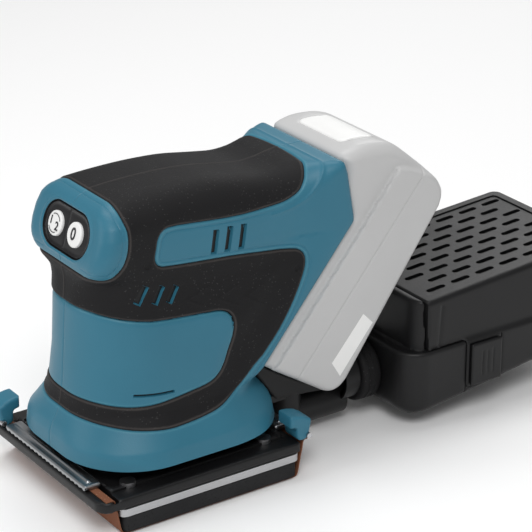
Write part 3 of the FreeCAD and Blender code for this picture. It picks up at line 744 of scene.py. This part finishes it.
battery = {
    "halfWidth": 37.4,
    "neckHalfWidth": 34.2,  # beside the housing, and above the shoulder
    "neckDepth": 6.5,
    "split": 22.5,          # joint between the two cases, behind the housing's face
    "splitWidth": 0.3,
    "splitDepth": 0.35,
    "wall": 1.8,
    "step": 1.2,
}
batteryOutline = curved([
    (95.2, 150), (94.9, 155.8), (97.6, 158.6), (106, 160.5), (116, 160.2), (124, 158.6), (131, 155.2),
    (141, 146.8), (149.5, 138.6), (155, 130.5), (156, 125), (154.4, 119.2)], closed=False) + [
    (98.4, 39.2)] + curved([(95.6, 35.3), (91.4, 32.2), (86.4, 31.2), (81.6, 32.6)], closed=False) + [
    (44.9, 56.2), (44.9, 57.1), (99.4, 122.7), (100.4, 125.4), (96.4, 145)]
shoulderLine = [(90, 139), (104, 143.6), (114, 146.6), (122, 147.4), (133, 144.6), (151, 136.5), (160, 132)]


def behindFace(x, z):
    # how far a point lies behind the face that carries the battery
    return (x - batteryFoot[0]) * batteryRise[1] - (z - batteryFoot[1]) * batteryRise[0]


def batteryField(x, y, z):
    side = outlineField(x, z, batteryOutline)
    shoulder = np.interp(x, *zip(*shoulderLine)) - z
    full = soft(battery["neckDepth"] - 1.0, battery["neckDepth"] + 0.8, behindFace(x, z))
    full = full * soft(-2.2, 1.6, shoulder)
    halfWidth = battery["neckHalfWidth"] + (battery["halfWidth"] - battery["neckHalfWidth"]) * full
    rounding = 3.2 + 5 * soft(-2, 10, -shoulder)
    return roundMeet(side, np.abs(y) - halfWidth, rounding)


def splitLine(points):
    return behindFace(points[:, 0], points[:, 2]) - battery["split"]


releaseLow, releaseHigh = cadSpan("release_button")


def releaseOutline(x, y):
    return planField(x, y, releaseLow, releaseHigh, 3.5)


def releaseField(x, y, z):
    top = batteryField(x, y, z) - 0.25
    return np.maximum(roundMeet(releaseOutline(x, y), top, 1.0), 155.4 - z)


def crownedEdge(points):
    return onlyWhere(points[:, 2] > 150, releaseOutline(points[:, 0], points[:, 1]))


def buttonWell(points):
    return crownedEdge(points) + 0.6


def makeBattery():
    points, faces = fieldMesh(batteryField, (40, -42, 20), (160, 42, 165), battery["step"])
    marks = [(splitLine, battery["splitWidth"], -battery["splitDepth"], "line"),
             (crownedEdge, 0.45, -0.5, "line"), (buttonWell, 0.8, -1.4, "pocket")]
    points, faces = marked(batteryField, points, faces, marks)
    behind = splitLine(points)[faces].mean(1)
    for name, chosen in (("Upper", behind < 0), ("Lower", behind >= 0)):
        case = pieceFrom("battery" + name + "Case", points, faces[chosen])
        walled(case, battery["wall"])
        finishPiece(case, "battery", "battery_case", batteryPlastic, "battery_" + name.lower() + "_case")
    button = fieldPiece("releaseButton", releaseField, (100, -22, 150), (128, 22, 162), 0.8)
    finishPiece(button, "release", "button_white", whitePlastic, "release_button")


print("battery")
makeBattery()


def stripePiece(name, outline, y, body, slotName, material, rise=0.16):
    # a thin printed patch on a flat side
    points = [(x, y, z) for x, z in outline] + [(x, y - rise, z) for x, z in outline]
    n = len(outline)
    faces = [tuple(range(n)), tuple(range(2 * n - 1, n - 1, -1))]
    faces += [(i, n + i, n + (i + 1) % n, (i + 1) % n) for i in range(n)]
    piece = plainPiece(name, points, faces)
    rightWayOut(piece)
    return finishPiece(piece, body, slotName, material)


def rightWayOut(piece):
    edit = bmesh.new()
    edit.from_mesh(piece.data)
    bmesh.ops.recalc_face_normals(edit, faces=edit.faces)
    edit.to_mesh(piece.data)
    edit.free()


def alongBattery(behind, along):
    # a point on the battery's side from its distance behind the housing's face and up along it
    x = batteryFoot[0] + behind * batteryRise[1] + along * batteryRise[0]
    return x, batteryFoot[1] - behind * batteryRise[0] + along * batteryRise[1]


for side, sign in (("Left", -1), ("Right", 1)):
    stripe = [alongBattery(*p) for p in ((36.6, 17.9), (46.2, 14.6), (45.9, 47.1), (37.2, 48.1))]
    stripePiece("batteryStripe" + side, stripe, sign * 37.36, "battery", "button_white", whitePlastic,
                rise=-0.14 * sign)

dustBox = {
    "step": 1.3,
    "frontRound": 15.0,     # lower cap corners, from above
    "upperRound": 12.0,     # upper block corners
    "rearRound": 9.0,
    "ledge": 44.0,
    "lidFront": 140.0,
    "split": 165.0,
    "wellDepth": 3.4,
}
capLow, capHigh = cadSpan("dust_cap")
caseLow, caseHigh = cadSpan("dust_case")
lidSlope = math.atan2(80 - 71.7, 256 - 140.3)


def lidHeight(x):
    return 71.6 + (x - 140) * math.tan(lidSlope)


def boxFloor(x):
    # the underside, rising towards the rear
    return np.interp(x, [126, 132, 165, 254, 262], [9.5, 8, 12, 24, 29])


def capField(x, y, z):
    lowerPlan = planField(x, y, capLow, (capHigh[0] + 30, capHigh[1]), dustBox["frontRound"])
    lower = roundMeet(lowerPlan, z - dustBox["ledge"], 1.6)
    lower = roundMeet(lower, boxFloor(x) - z, 5)
    lower = roundMeet(lower, x - dustBox["split"] + 0.2, 0.6)
    upperPlan = planField(x, y, capLow + (7.5, 1.8, 0), capHigh + (20, -1.8, 0), dustBox["upperRound"])
    upperPlan = upperPlan + 0.06 * (z - dustBox["ledge"])
    upper = roundMeet(upperPlan, z - np.minimum(lidHeight(x), 71.4), 1.8)
    upper = np.maximum(roundMeet(upper, x - dustBox["lidFront"] + 0.25, 0.6), 30 - z)
    return np.minimum(lower, upper)


def caseField(x, y, z):
    widths = 0.045 * np.maximum(z - 46, 0) + 1.6 * soft(43, 46, z)
    plan = planField(x, y, (100, caseLow[1]), caseHigh, dustBox["rearRound"])
    body = roundMeet(plan + widths, z - lidHeight(x), 2.4)
    body = roundMeet(body, boxFloor(x) - z, 5)
    step = np.minimum(roundMeet(dustBox["lidFront"] + 0.25 - x, dustBox["ledge"] + 0.35 - z, 0.6),
                      dustBox["split"] + 0.2 - x)
    return roundMeet(body, step, 0.6)


def lidOutline(points):
    x, y, z = points.T
    inside = planField(x, y, (dustBox["lidFront"] + 7, capLow[1] + 9), (caseHigh[0] - 9, capHigh[1] - 9), 3.0)
    return onlyWhere(z > 66, inside)


def cornerLine(points):
    # a soft moulded crease behind the lid's front corner
    x, y, z = points.T
    onCorner = (z > dustBox["ledge"] + 1) & (z < 68) & (np.abs(y + 2.5) > 38)
    return onlyWhere(onCorner, x - 147.5 - 0.1 * (z - 46))


def clipField(y0, outer):
    def field(x, y, z):
        plate = boxField(x, y, z, (167, y0, 18), (187.6, y0 + 2.2, 42), 0.9)
        ribs = sum(hump(x - middle, 0.5, 0.42) for middle in (174.5, 178, 181.5))
        fade = soft(22, 24, z) * (1 - soft(36, 38, z)) * ((y - y0 - 1.1) * outer > 0)
        return plate + ribs * fade
    return field


def clipGap(points):
    x, y, z = points.T
    gap = boxField(x, 0 * y, z, (165.9, -9, 16.5), (189, 9, 43.2), 1.2)
    return onlyWhere((z < 43.5) & (np.abs(y + 2.5) > 30), gap)


def makeDustBox():
    cap = fieldPiece("dustCap", capField, (124, -52, 6), (168, 47, 76), dustBox["step"])
    finishPiece(cap, "dust_front", "dust_plastic", blackPlastic, "dust_cap")
    marks = [(lidOutline, 0.5, -dustBox["wellDepth"], "pocket"), (cornerLine, 0.9, -0.5, "line"),
             (clipGap, 0.45, -0.7, "line")]
    case = fieldPiece("dustCase", caseField, (138, -52, 8), (264, 47, 84), dustBox["step"], marks)
    finishPiece(case, "dust_rear", "dust_plastic", blackPlastic, "dust_case")
    for side, y0, outer in (("left", -52.6, -1), ("right", 45.4, 1)):
        low, high = (166, y0, 17), (189, y0 + 2.2, 43)
        clip = fieldPiece("dustClip" + side.capitalize(), clipField(y0, outer), low, high, 0.55)
        finishPiece(clip, "clip_" + side, "dust_plastic", blackPlastic, "dust_clip_" + side)


print("dust box")
makeDustBox()


def geometryTree(name, inputs):
    tree = bpy.data.node_groups.new(name, "GeometryNodeTree")
    for label, kind, start in inputs:
        socket = tree.interface.new_socket(label, in_out="INPUT", socket_type=kind)
        if start is not None:
            socket.default_value = start
    tree.interface.new_socket("Geometry", in_out="OUTPUT", socket_type="NodeSocketGeometry")
    return tree, tree.nodes.new("NodeGroupInput"), tree.nodes.new("NodeGroupOutput")


def addNode(tree, kind, links=None, **settings):
    # a node with its settings, and its inputs by name: values or other nodes' outputs
    node = tree.nodes.new(kind)
    for key, value in settings.items():
        setattr(node, key, value)
    for key, value in (links or {}).items():
        socket = node.inputs[key]
        if isinstance(value, bpy.types.NodeSocket):
            tree.links.new(value, socket)
        else:
            socket.default_value = value
    return node


def grown(name, tree, values):
    # the plain mesh that a tree of geometry nodes makes
    piece = placed(name, bpy.data.meshes.new(name))
    modifier = piece.modifiers.new("form", "NODES")
    modifier.node_group = tree
    for item in tree.interface.items_tree:
        if item.in_out == "INPUT" and item.name in values:
            modifier[item.identifier] = values[item.name]
    return applied(piece)


def louvreTree():
    # a plate pierced by staggered rows of slots
    tree, start, end = geometryTree("louvredPlate", [
        ("Rows", "NodeSocketInt", 7), ("Slots", "NodeSocketInt", 6), ("Row Pitch", "NodeSocketFloat", 0.01),
        ("Slot Pitch", "NodeSocketFloat", 0.016), ("Slot Length", "NodeSocketFloat", 0.012),
        ("Slot Width", "NodeSocketFloat", 0.003), ("Plate Size", "NodeSocketVector", None),
        ("Material", "NodeSocketMaterial", None)])
    out = start.outputs

    def calc(operation, a, b):
        return addNode(tree, "ShaderNodeMath", {0: a, 1: b}, operation=operation).outputs[0]

    def triple(x, y, z):
        return addNode(tree, "ShaderNodeCombineXYZ", {0: x, 1: y, 2: z}).outputs[0]

    wide = calc("MULTIPLY", calc("SUBTRACT", out["Slots"], 1), out["Slot Pitch"])
    deep = calc("MULTIPLY", calc("SUBTRACT", out["Rows"], 1), out["Row Pitch"])
    grid = addNode(tree, "GeometryNodeMeshGrid", {
        "Size X": wide, "Size Y": deep, "Vertices X": out["Slots"], "Vertices Y": out["Rows"]})
    row = calc("MODULO", addNode(tree, "GeometryNodeInputIndex").outputs[0], out["Rows"])
    odd = calc("MODULO", row, 2)
    push = calc("MULTIPLY", calc("SUBTRACT", odd, 0.5), calc("MULTIPLY", out["Slot Pitch"], 0.5))
    moved = addNode(tree, "GeometryNodeSetPosition", {
        "Geometry": grid.outputs[0], "Offset": triple(push, 0.0, 0.0)})
    plate = addNode(tree, "GeometryNodeMeshCube", {"Size": out["Plate Size"]})
    end1 = addNode(tree, "GeometryNodeMeshCylinder", {
        "Vertices": 16, "Radius": calc("MULTIPLY", out["Slot Width"], 0.5), "Depth": 0.02})
    reach = calc("MULTIPLY", calc("SUBTRACT", out["Slot Length"], out["Slot Width"]), 0.5)
    ends = [addNode(tree, "GeometryNodeTransform", {
        "Geometry": end1.outputs[0], "Translation": triple(calc("MULTIPLY", reach, sign), 0.0, 0.0)})
        for sign in (-1.0, 1.0)]
    both = addNode(tree, "GeometryNodeJoinGeometry")
    for part in ends:
        tree.links.new(part.outputs[0], both.inputs[0])
    slot = addNode(tree, "GeometryNodeConvexHull", {"Geometry": both.outputs[0]})
    placed = addNode(tree, "GeometryNodeInstanceOnPoints", {
        "Points": moved.outputs[0], "Instance": slot.outputs[0]})
    solid = addNode(tree, "GeometryNodeRealizeInstances", {"Geometry": placed.outputs[0]})
    cut = addNode(tree, "GeometryNodeMeshBoolean", {"Mesh 1": plate.outputs[0]}, operation="DIFFERENCE")
    cut.solver = "EXACT"
    tree.links.new(solid.outputs[0], cut.inputs["Mesh 2"])
    last = addNode(tree, "GeometryNodeRealizeInstances", {"Geometry": cut.outputs[0]})
    paint = addNode(tree, "GeometryNodeSetMaterial", {
        "Geometry": last.outputs[0], "Material": out["Material"]})
    tree.links.new(paint.outputs[0], end.inputs[0])
    return tree


lid = {
    "rows": 8,
    "slots": 6,
    "rowPitch": 9.3,
    "slotPitch": 16.5,
    "slotLength": 12.0,
    "slotWidth": 3.6,
    "thick": 1.6,
}


def makeLid():
    lowX, highX = dustBox["lidFront"] + 7.6, caseHigh[0] - 9.6
    lowY, highY = capLow[1] + 9.6, capHigh[1] - 9.6
    size = ((highX - lowX) / math.cos(lidSlope) * mm, (highY - lowY) * mm, lid["thick"] * mm)
    piece = grown("louvredLid", louvreTree(), {
        "Rows": lid["rows"], "Slots": lid["slots"], "Row Pitch": lid["rowPitch"] * mm,
        "Slot Pitch": lid["slotPitch"] * mm, "Slot Length": lid["slotLength"] * mm,
        "Slot Width": lid["slotWidth"] * mm, "Plate Size": size, "Material": blackPlastic})
    middle = (lowX + highX) / 2
    place = Vector((middle, (lowY + highY) / 2, lidHeight(middle) - 1.5)) * mm
    piece.data.transform(Matrix.Translation(place) @ Matrix.Rotation(-lidSlope, 4, "Y"))
    smoothShade(piece.data, 25)
    finishPiece(piece, "dust_rear", "dust_plastic", blackPlastic)


makeLid()


def turnedPiece(name, profile, place, axis, segments=72):
    # a closed turned part: profile of (radius, height) pairs about an axis through place
    edit = bmesh.new()
    rings = []
    for radius, height in profile:
        ring = [edit.verts.new((radius * math.cos(2 * math.pi * k / segments) * mm,
                                radius * math.sin(2 * math.pi * k / segments) * mm, height * mm))
                for k in range(segments)]
        rings.append(ring)
    for lower, upper in zip(rings, rings[1:] + rings[:1]):
        for k in range(segments):
            following = (k + 1) % segments
            edit.faces.new((lower[k], lower[following], upper[following], upper[k]))
    bmesh.ops.recalc_face_normals(edit, faces=edit.faces)
    mesh = bpy.data.meshes.new(name)
    edit.to_mesh(mesh)
    edit.free()
    turn = Vector((0, 0, 1)).rotation_difference(Vector(axis)).to_matrix().to_4x4()
    mesh.transform(Matrix.Translation(Vector(place) * mm) @ turn)
    smoothShade(mesh, 35)
    return placed(name, mesh)


def roundedTube(inner, outer, low, high, r, rings=()):
    # profile of a tube with rounded ends, and shallow grooves round it
    arc = [math.radians(a) for a in (0, 30, 60, 90)]
    profile = [(outer - r + r * math.sin(a), low + r - r * math.cos(a)) for a in arc]
    for height in rings:
        profile += [(outer, height - 0.7), (outer - 0.5, height - 0.35), (outer - 0.5, height + 0.35),
                    (outer, height + 0.7)]
    profile += [(outer - r + r * math.cos(a), high - r + r * math.sin(a)) for a in arc]
    return profile + [(inner, high), (inner, low)]


inlet = {
    "side": -12.0,          # y of the suction run
    "height": 26.0,         # z of the collar
}


def bracketField(x, y, z):
    side = outlineField(x, z, [
        (46.5, 53.8), (80.5, 32.2), (97, 29.8), (97, 24.5), (90, 24.5), (61, 27.5), (52, 40), (46.5, 48)])
    return roundMeet(side, np.abs(y + 2) - 20, 1.4)


def nozzleField(x, y, z):
    # pipe down to the tray, the run back from it and the duct box in front
    y = y - inlet["side"]
    pipe = roundMeet(np.hypot(x - 72, y) - 9.9, np.abs(z - 16.3) - 12.7, 1.0)
    run = roundMeet(np.hypot(y, z - 13.5) - 9.2, np.abs(x - 88) - 16.9, 0.8)
    duct = roundMeet(roundMeet(np.abs(x - 53) - 14.9, np.abs(y) - 9.4, 2.0), np.abs(z - 27.8) - 1.85, 0.6)
    return np.minimum(np.minimum(pipe, run), duct)


def makeInlet():
    middle, along = (0, inlet["side"], inlet["height"]), (1, 0, 0)
    head = turnedPiece("inletHead", roundedTube(11, 13.95, 104, 112.9, 1.2, rings=(108,)), middle, along)
    finishPiece(head, "housing", "black_plastic", blackPlastic)
    collarProfile = roundedTube(11.7, 16.95, 113.6, 125.4, 2.2, rings=(117, 120.5))
    collar = turnedPiece("dustCollar", collarProfile, middle, along)
    finishPiece(collar, "housing", "black_plastic", gripRubber, "dust_collar")
    bracket = fieldPiece("batteryFootBracket", bracketField, (44, -24, 23), (99, 24, 58), 1.0)
    finishPiece(bracket, "housing", "black_plastic", blackPlastic)
    bossProfile = [(0.02, 29.3), (6.4, 29.3), (7.2, 30.2), (6.9, 30.8), (3.2, 30.9), (2.6, 30.1),
                   (0.02, 30.0)]
    boss = turnedPiece("pipeBoss", bossProfile, (72, inlet["side"], 0), (0, 0, 1), 48)
    finishPiece(boss, "housing", "black_plastic", blackPlastic)


print("dust inlet")
makeInlet()

leverOutline = curved([
    (-53.2, 35.2), (-57.5, 34.9), (-62, 33.6), (-65.2, 31.8), (-65.8, 30.2), (-65.3, 27.5), (-64.3, 23.5),
    (-62.5, 20.9), (-58.8, 20.9), (-57.2, 23), (-57.0, 26.5), (-56.2, 28.2), (-53.2, 28.8)], closed=False)


def leverField(mirror, y0):
    def field(x, y, z):
        flipped = -6 - x if mirror else x
        side = outlineField(flipped, z, leverOutline)
        grip = hump(z - 32.5, 0.5, 0.35) * (flipped < -61)
        return roundMeet(side + grip, np.abs(y - y0) - 6.3, 1.6)
    return field


def clampField(mirror):
    def field(x, y, z):
        flipped = -6 - x if mirror else x
        teeth = 0.5 * (0.5 + 0.5 * np.cos(y * 2 * np.pi / 4.0)) * (1 - soft(-62.5, -60.5, flipped))
        bar = boxField(flipped, y, z, (-63.9, -39.9, 20.5), (-54.6, 39.9, 23.3), 0.8)
        rib = np.hypot(flipped + 59.6, z - 23.2) - 1.1
        return np.maximum(np.minimum(bar, np.maximum(rib, np.abs(y) - 37)), 20.35 - z) + teeth * (z < 21.6)
    return field


def makeClamps():
    for where, mirror, y0 in (("front", False, 49.0), ("rear", True, -50.0)):
        low, high = (-67, y0 - 8, 19), (-52, y0 + 8, 37)
        if mirror:
            low, high = (46, y0 - 8, 19), (61, y0 + 8, 37)
        lever = fieldPiece("clampLever" + where.capitalize(), leverField(mirror, y0), low, high, 0.8)
        finishPiece(lever, where + "_lever", "shell", tealPlastic, "lever_" + where)
        low, high = ((46, -42, 19), (60, 42, 26)) if mirror else ((-66, -42, 19), (-52, 42, 26))
        bar = fieldPiece("clampBar" + where.capitalize(), clampField(mirror), low, high, 0.7)
        finishPiece(bar, where + "_clamp", "spring_steel", springSteel, "clamp_" + where)


print("clamps")
makeClamps()


tray = {
    "slots": [(-55.3, 1.8), (54.9, 1.7)],    # where the sheet comes up: middle and half width along x
    "slotReach": 55.4,
}


def trayField(x, y, z):
    low, high = cadSpan("pad_tray")
    plate = roundMeet(planField(x, y, low, high, 7), np.abs(z - 17) - 2.9, 1.2)
    ribs = np.maximum(planField(x, y, low + 9, high - 9, 3), np.abs(z - 20.5) - 1.0)
    hollow = planField(x, y, low + 12, high - 12, 3)
    ribs = np.maximum(ribs, -hollow)
    hub = np.hypot(x - 0.8, y)
    post = roundMeet(hub - 17, np.abs(z - 25) - 9.8, 0.8)
    solid = np.maximum(np.minimum(np.minimum(plate, ribs), post), 14.1 - hub - 50 * (z < 24))
    for middle, half in tray["slots"]:
        solid = np.maximum(solid, -np.maximum(np.abs(x - middle) - half, np.abs(y) - tray["slotReach"]))
    return solid


def foamField(x, y, z):
    low, high = cadSpan("foam_pad")
    return roundMeet(planField(x, y, low, high, 3), np.abs(z - 5.5) - 4.45, 1.0)


def makePad():
    tray = fieldPiece("padTray", trayField, (-65, -57, 13), (59, 57, 36), 1.3)
    finishPiece(tray, "pad", "tray_plastic", blackPlastic, "pad_tray")
    foam = fieldPiece("foamPad", foamField, (-52, -57, 0), (52, 57, 11), 1.3)
    finishPiece(foam, "pad", "foam", foamFinish, "foam_pad")


def makeSheet():
    # abrasive paper: flat under the foam, up both ends and back under the clamps
    half = curved([
        (-60.5, 20.25), (-57.2, 20.24), (-56.1, 19.9), (-55.5, 18.8), (-55.0, 15.5), (-54.1, 11), (-53.0, 6),
        (-51.9, 1.6), (-50.6, 0.7), (-48.5, 0.5), (-40, 0.5)], closed=False)
    line = half + [(-x, z) for x, z in reversed(half)]
    rows = 24
    points, faces = [], []
    for i, (x, z) in enumerate(line):
        for k in range(rows + 1):
            y = -54.5 + 109 * k / rows
            wave = 0.12 * math.sin(y * 0.11 + x) * (4 < z < 14)
            points.append((x + wave, y, z))
    for i in range(len(line) - 1):
        for k in range(rows):
            a = i * (rows + 1) + k
            faces.append((a, a + 1, a + rows + 2, a + rows + 1))
    piece = plainPiece("sandingSheet", points, faces)
    wall = piece.modifiers.new("paper", "SOLIDIFY")
    wall.thickness = 0.45 * mm
    wall.offset = 0
    applied(piece)
    smoothShade(piece.data, 50)
    return finishPiece(piece, "pad", "abrasive_paper", abrasivePaper, "sanding_sheet")


print("pad")
makePad()
makeSheet()

keys = {
    "radius": 6.3,
    "aside": 9.2,
    "crown": 0.008,
    "rise": 1.3,            # above the switch plate's plane
    "markHeight": 6.4,
    "markDepth": 0.12,
}
keyTurn = Matrix(((0, panelUp[0], panelOut[0]), (-1, 0, 0), (0, panelUp[2], panelOut[2]))).to_4x4()


def keyField(aside):
    def field(x, y, z):
        up = (x - switchPanel["middle"][0]) * panelUp[0] + (z - switchPanel["middle"][2]) * panelUp[2]
        out = (x - switchPanel["middle"][0]) * panelOut[0] + (z - switchPanel["middle"][2]) * panelOut[2]
        r = np.hypot(y - aside, up)
        face = np.abs(out + 0.9 + keys["crown"] * r * r) - keys["rise"] - 0.9
        return roundMeet(r - keys["radius"], face, 0.6)
    return field


def onKey(mesh, aside, right=0.0, up=0.0):
    # lay a flat mesh on a key's face, x to the viewer's right and y up
    crown = keys["crown"] * (right * right + up * up)
    middle = Vector(switchPanel["middle"] + panelOut * (keys["rise"] - crown + 0.07) + panelUp * up)
    middle.y = aside - right
    mesh.transform(Matrix.Translation(middle * mm) @ keyTurn)


def numeral(text, aside, right, up, scale=1.0):
    curve = bpy.data.curves.new("numeral" + text, "FONT")
    curve.body = text
    curve.size = keys["markHeight"] * scale * mm
    curve.offset = 0.12 * mm
    curve.extrude = keys["markDepth"] * mm
    curve.align_x = "CENTER"
    curve.align_y = "CENTER"
    maker = placed("numeral" + text, curve)
    depsgraph = bpy.context.evaluated_depsgraph_get()
    mesh = bpy.data.meshes.new_from_object(maker.evaluated_get(depsgraph), depsgraph=depsgraph)
    bpy.data.objects.remove(maker)
    piece = placed("numeral" + text, mesh)
    onKey(piece.data, aside, right, up)
    return piece


def arrowArc(name, aside, fromAngle, toAngle, radius=4.7, width=0.42):
    # a curved arrow round a key
    steps = 18
    angles = [math.radians(fromAngle + (toAngle - fromAngle) * k / steps) for k in range(steps + 1)]
    inner, outer = radius - width / 2, radius + width / 2
    ring = [(inner * math.cos(a), inner * math.sin(a)) for a in angles]
    ring += [(outer * math.cos(a), outer * math.sin(a)) for a in reversed(angles)]
    points, faces = [], []
    for level in (0.0, keys["markDepth"]):
        points += [(x, y, level - keys["crown"] * radius ** 2) for x, y in ring]
    n = len(ring)
    half = steps + 1
    for k in range(steps):
        faces.append((k, k + 1, n - 2 - k, n - 1 - k))
        faces.append((n + k, 2 * n - 1 - k, 2 * n - 2 - k, n + k + 1))
    faces += [(k, (k + 1) % n, n + (k + 1) % n, n + k) for k in range(n)]
    piece = plainPiece(name, points, faces)
    rightWayOut(piece)
    onKey(piece.data, aside)
    return piece


def makeKeys():
    for label, aside in (("speed", keys["aside"]), ("off", -keys["aside"])):
        low, high = (-51, aside - 7.5, 132), (-40, aside + 7.5, 150)
        cap = fieldPiece(label + "Key", keyField(aside), low, high, 0.5)
        finishPiece(cap, label + "_key", "button_white", whitePlastic, label + "_button")
    marks = [numeral("1", keys["aside"], -3.0, 0.7, 0.9), numeral("2", keys["aside"], 2.6, -1.2, 0.95),
             arrowArc("arrowOver", keys["aside"], 25, 122), arrowArc("arrowUnder", keys["aside"], 212, 300)]
    for piece in marks:
        finishPiece(piece, "speed_key", "panel_plastic", markInk)
    finishPiece(numeral("0", -keys["aside"], -0.3, 0, 1.35), "off_key", "panel_plastic", markInk)


print("keys")
makeKeys()

slotFinishes = {
    "black_plastic": blackPlastic, "panel_plastic": panelPlastic, "tray_plastic": blackPlastic,
    "foot_rubber": gripRubber, "fan_plastic": fanPlastic, "steel": turnedSteel, "bearing_steel": bearingSteel,
    "spring_steel": springSteel, "bracket_alloy": castAlloy, "board": boardFinish, "cell": cellWrap,
    "filter_paper": filterPaper, "foam": foamFinish, "abrasive_paper": abrasivePaper, "shell": tealPlastic,
    "grip_rubber": gripRubber, "battery_case": batteryPlastic, "button_white": whitePlastic,
    "dust_plastic": blackPlastic,
}


def dressFrame():
    # every CAD node gets the finish of its slot
    for part in frame["record"]["subparts"]:
        node = frame["nodes"][part["node"]]
        node.data.materials.clear()
        node.data.materials.append(slotFinishes[part["material_slot"]])
    print("frame finishes", len(frame["nodes"]))


dressFrame()


def setWorld(tree, ambient):
    # white surroundings, which light the object less than they show
    seen = tree.nodes["Background"]
    seen.inputs[1].default_value = 1.0
    lighting = tree.nodes.new("ShaderNodeBackground")
    lighting.inputs[1].default_value = ambient
    mix = tree.nodes.new("ShaderNodeMixShader")
    path = tree.nodes.new("ShaderNodeLightPath")
    tree.links.new(path.outputs["Is Camera Ray"], mix.inputs[0])
    tree.links.new(lighting.outputs[0], mix.inputs[1])
    tree.links.new(seen.outputs[0], mix.inputs[2])
    tree.links.new(mix.outputs[0], tree.nodes["World Output"].inputs[0])


# place, size, power of each light; then the surroundings, floor and camera
lamps = {
    "keyLight": ((-0.5, -0.9, 1.3), (0.7, 0.7), 11),
    "fillLight": ((-1.3, 0.3, 0.7), (0.5, 1.0), 4.5),
    "topLight": ((0.2, 0.3, 1.5), (1.0, 0.6), 8.5),
    "rimLight": ((1.1, 0.9, 0.9), (0.5, 0.8), 3),
}
studio = {
    "aim": (0.05, 0, 0.08),
    "ambient": 0.46,
    "floorReach": 6.0,
    "floorTone": 0.97,
    "lens": 155.6,
    "cameraPlace": (-0.5456, -0.896, 0.5657),
    "cameraTarget": (0.0702, 0.0, 0.093),
}


def buildStudio():
    def area(name, place, size, power, aim):
        light = bpy.data.lights.new(name, "AREA")
        light.energy = power
        light.shape = "RECTANGLE"
        light.size, light.size_y = size
        lamp = placed(name, light)
        lamp.location = place
        lamp.rotation_euler = (Vector(aim) - Vector(place)).to_track_quat("-Z", "Y").to_euler()

    for name, (place, size, power) in lamps.items():
        area(name, place, size, power, studio["aim"])
    world = bpy.data.worlds.new("studio")
    world.use_nodes = True
    world.node_tree.nodes["Background"].inputs[0].default_value = (1, 1, 1, 1)
    setWorld(world.node_tree, studio["ambient"])
    bpy.context.scene.world = world
    bpy.context.scene.view_settings.view_transform = "Standard"
    reach = studio["floorReach"]
    corners = [(-reach, -reach, 0), (reach, -reach, 0), (reach, reach, 0), (-reach, reach, 0)]
    mesh = bpy.data.meshes.new("floor")
    mesh.from_pydata(corners, [], [(0, 1, 2, 3)])
    floor = placed("floor", mesh)
    paper = bpy.data.materials.new("floorPaper")
    paper.use_nodes = True
    shader = paper.node_tree.nodes["Principled BSDF"]
    shader.inputs["Base Color"].default_value = (*[studio["floorTone"]] * 3, 1)
    shader.inputs["Roughness"].default_value = 0.8
    mesh.materials.append(paper)
    camera = placed("camera", bpy.data.cameras.new("camera"))
    camera.data.sensor_width = 36.0
    camera.data.lens = studio["lens"]
    camera.data.clip_start = 0.05
    camera.location = studio["cameraPlace"]
    target = Vector(studio["cameraTarget"])
    camera.rotation_euler = (target - camera.location).to_track_quat("-Z", "Y").to_euler()
    bpy.context.scene.camera = camera


buildStudio()
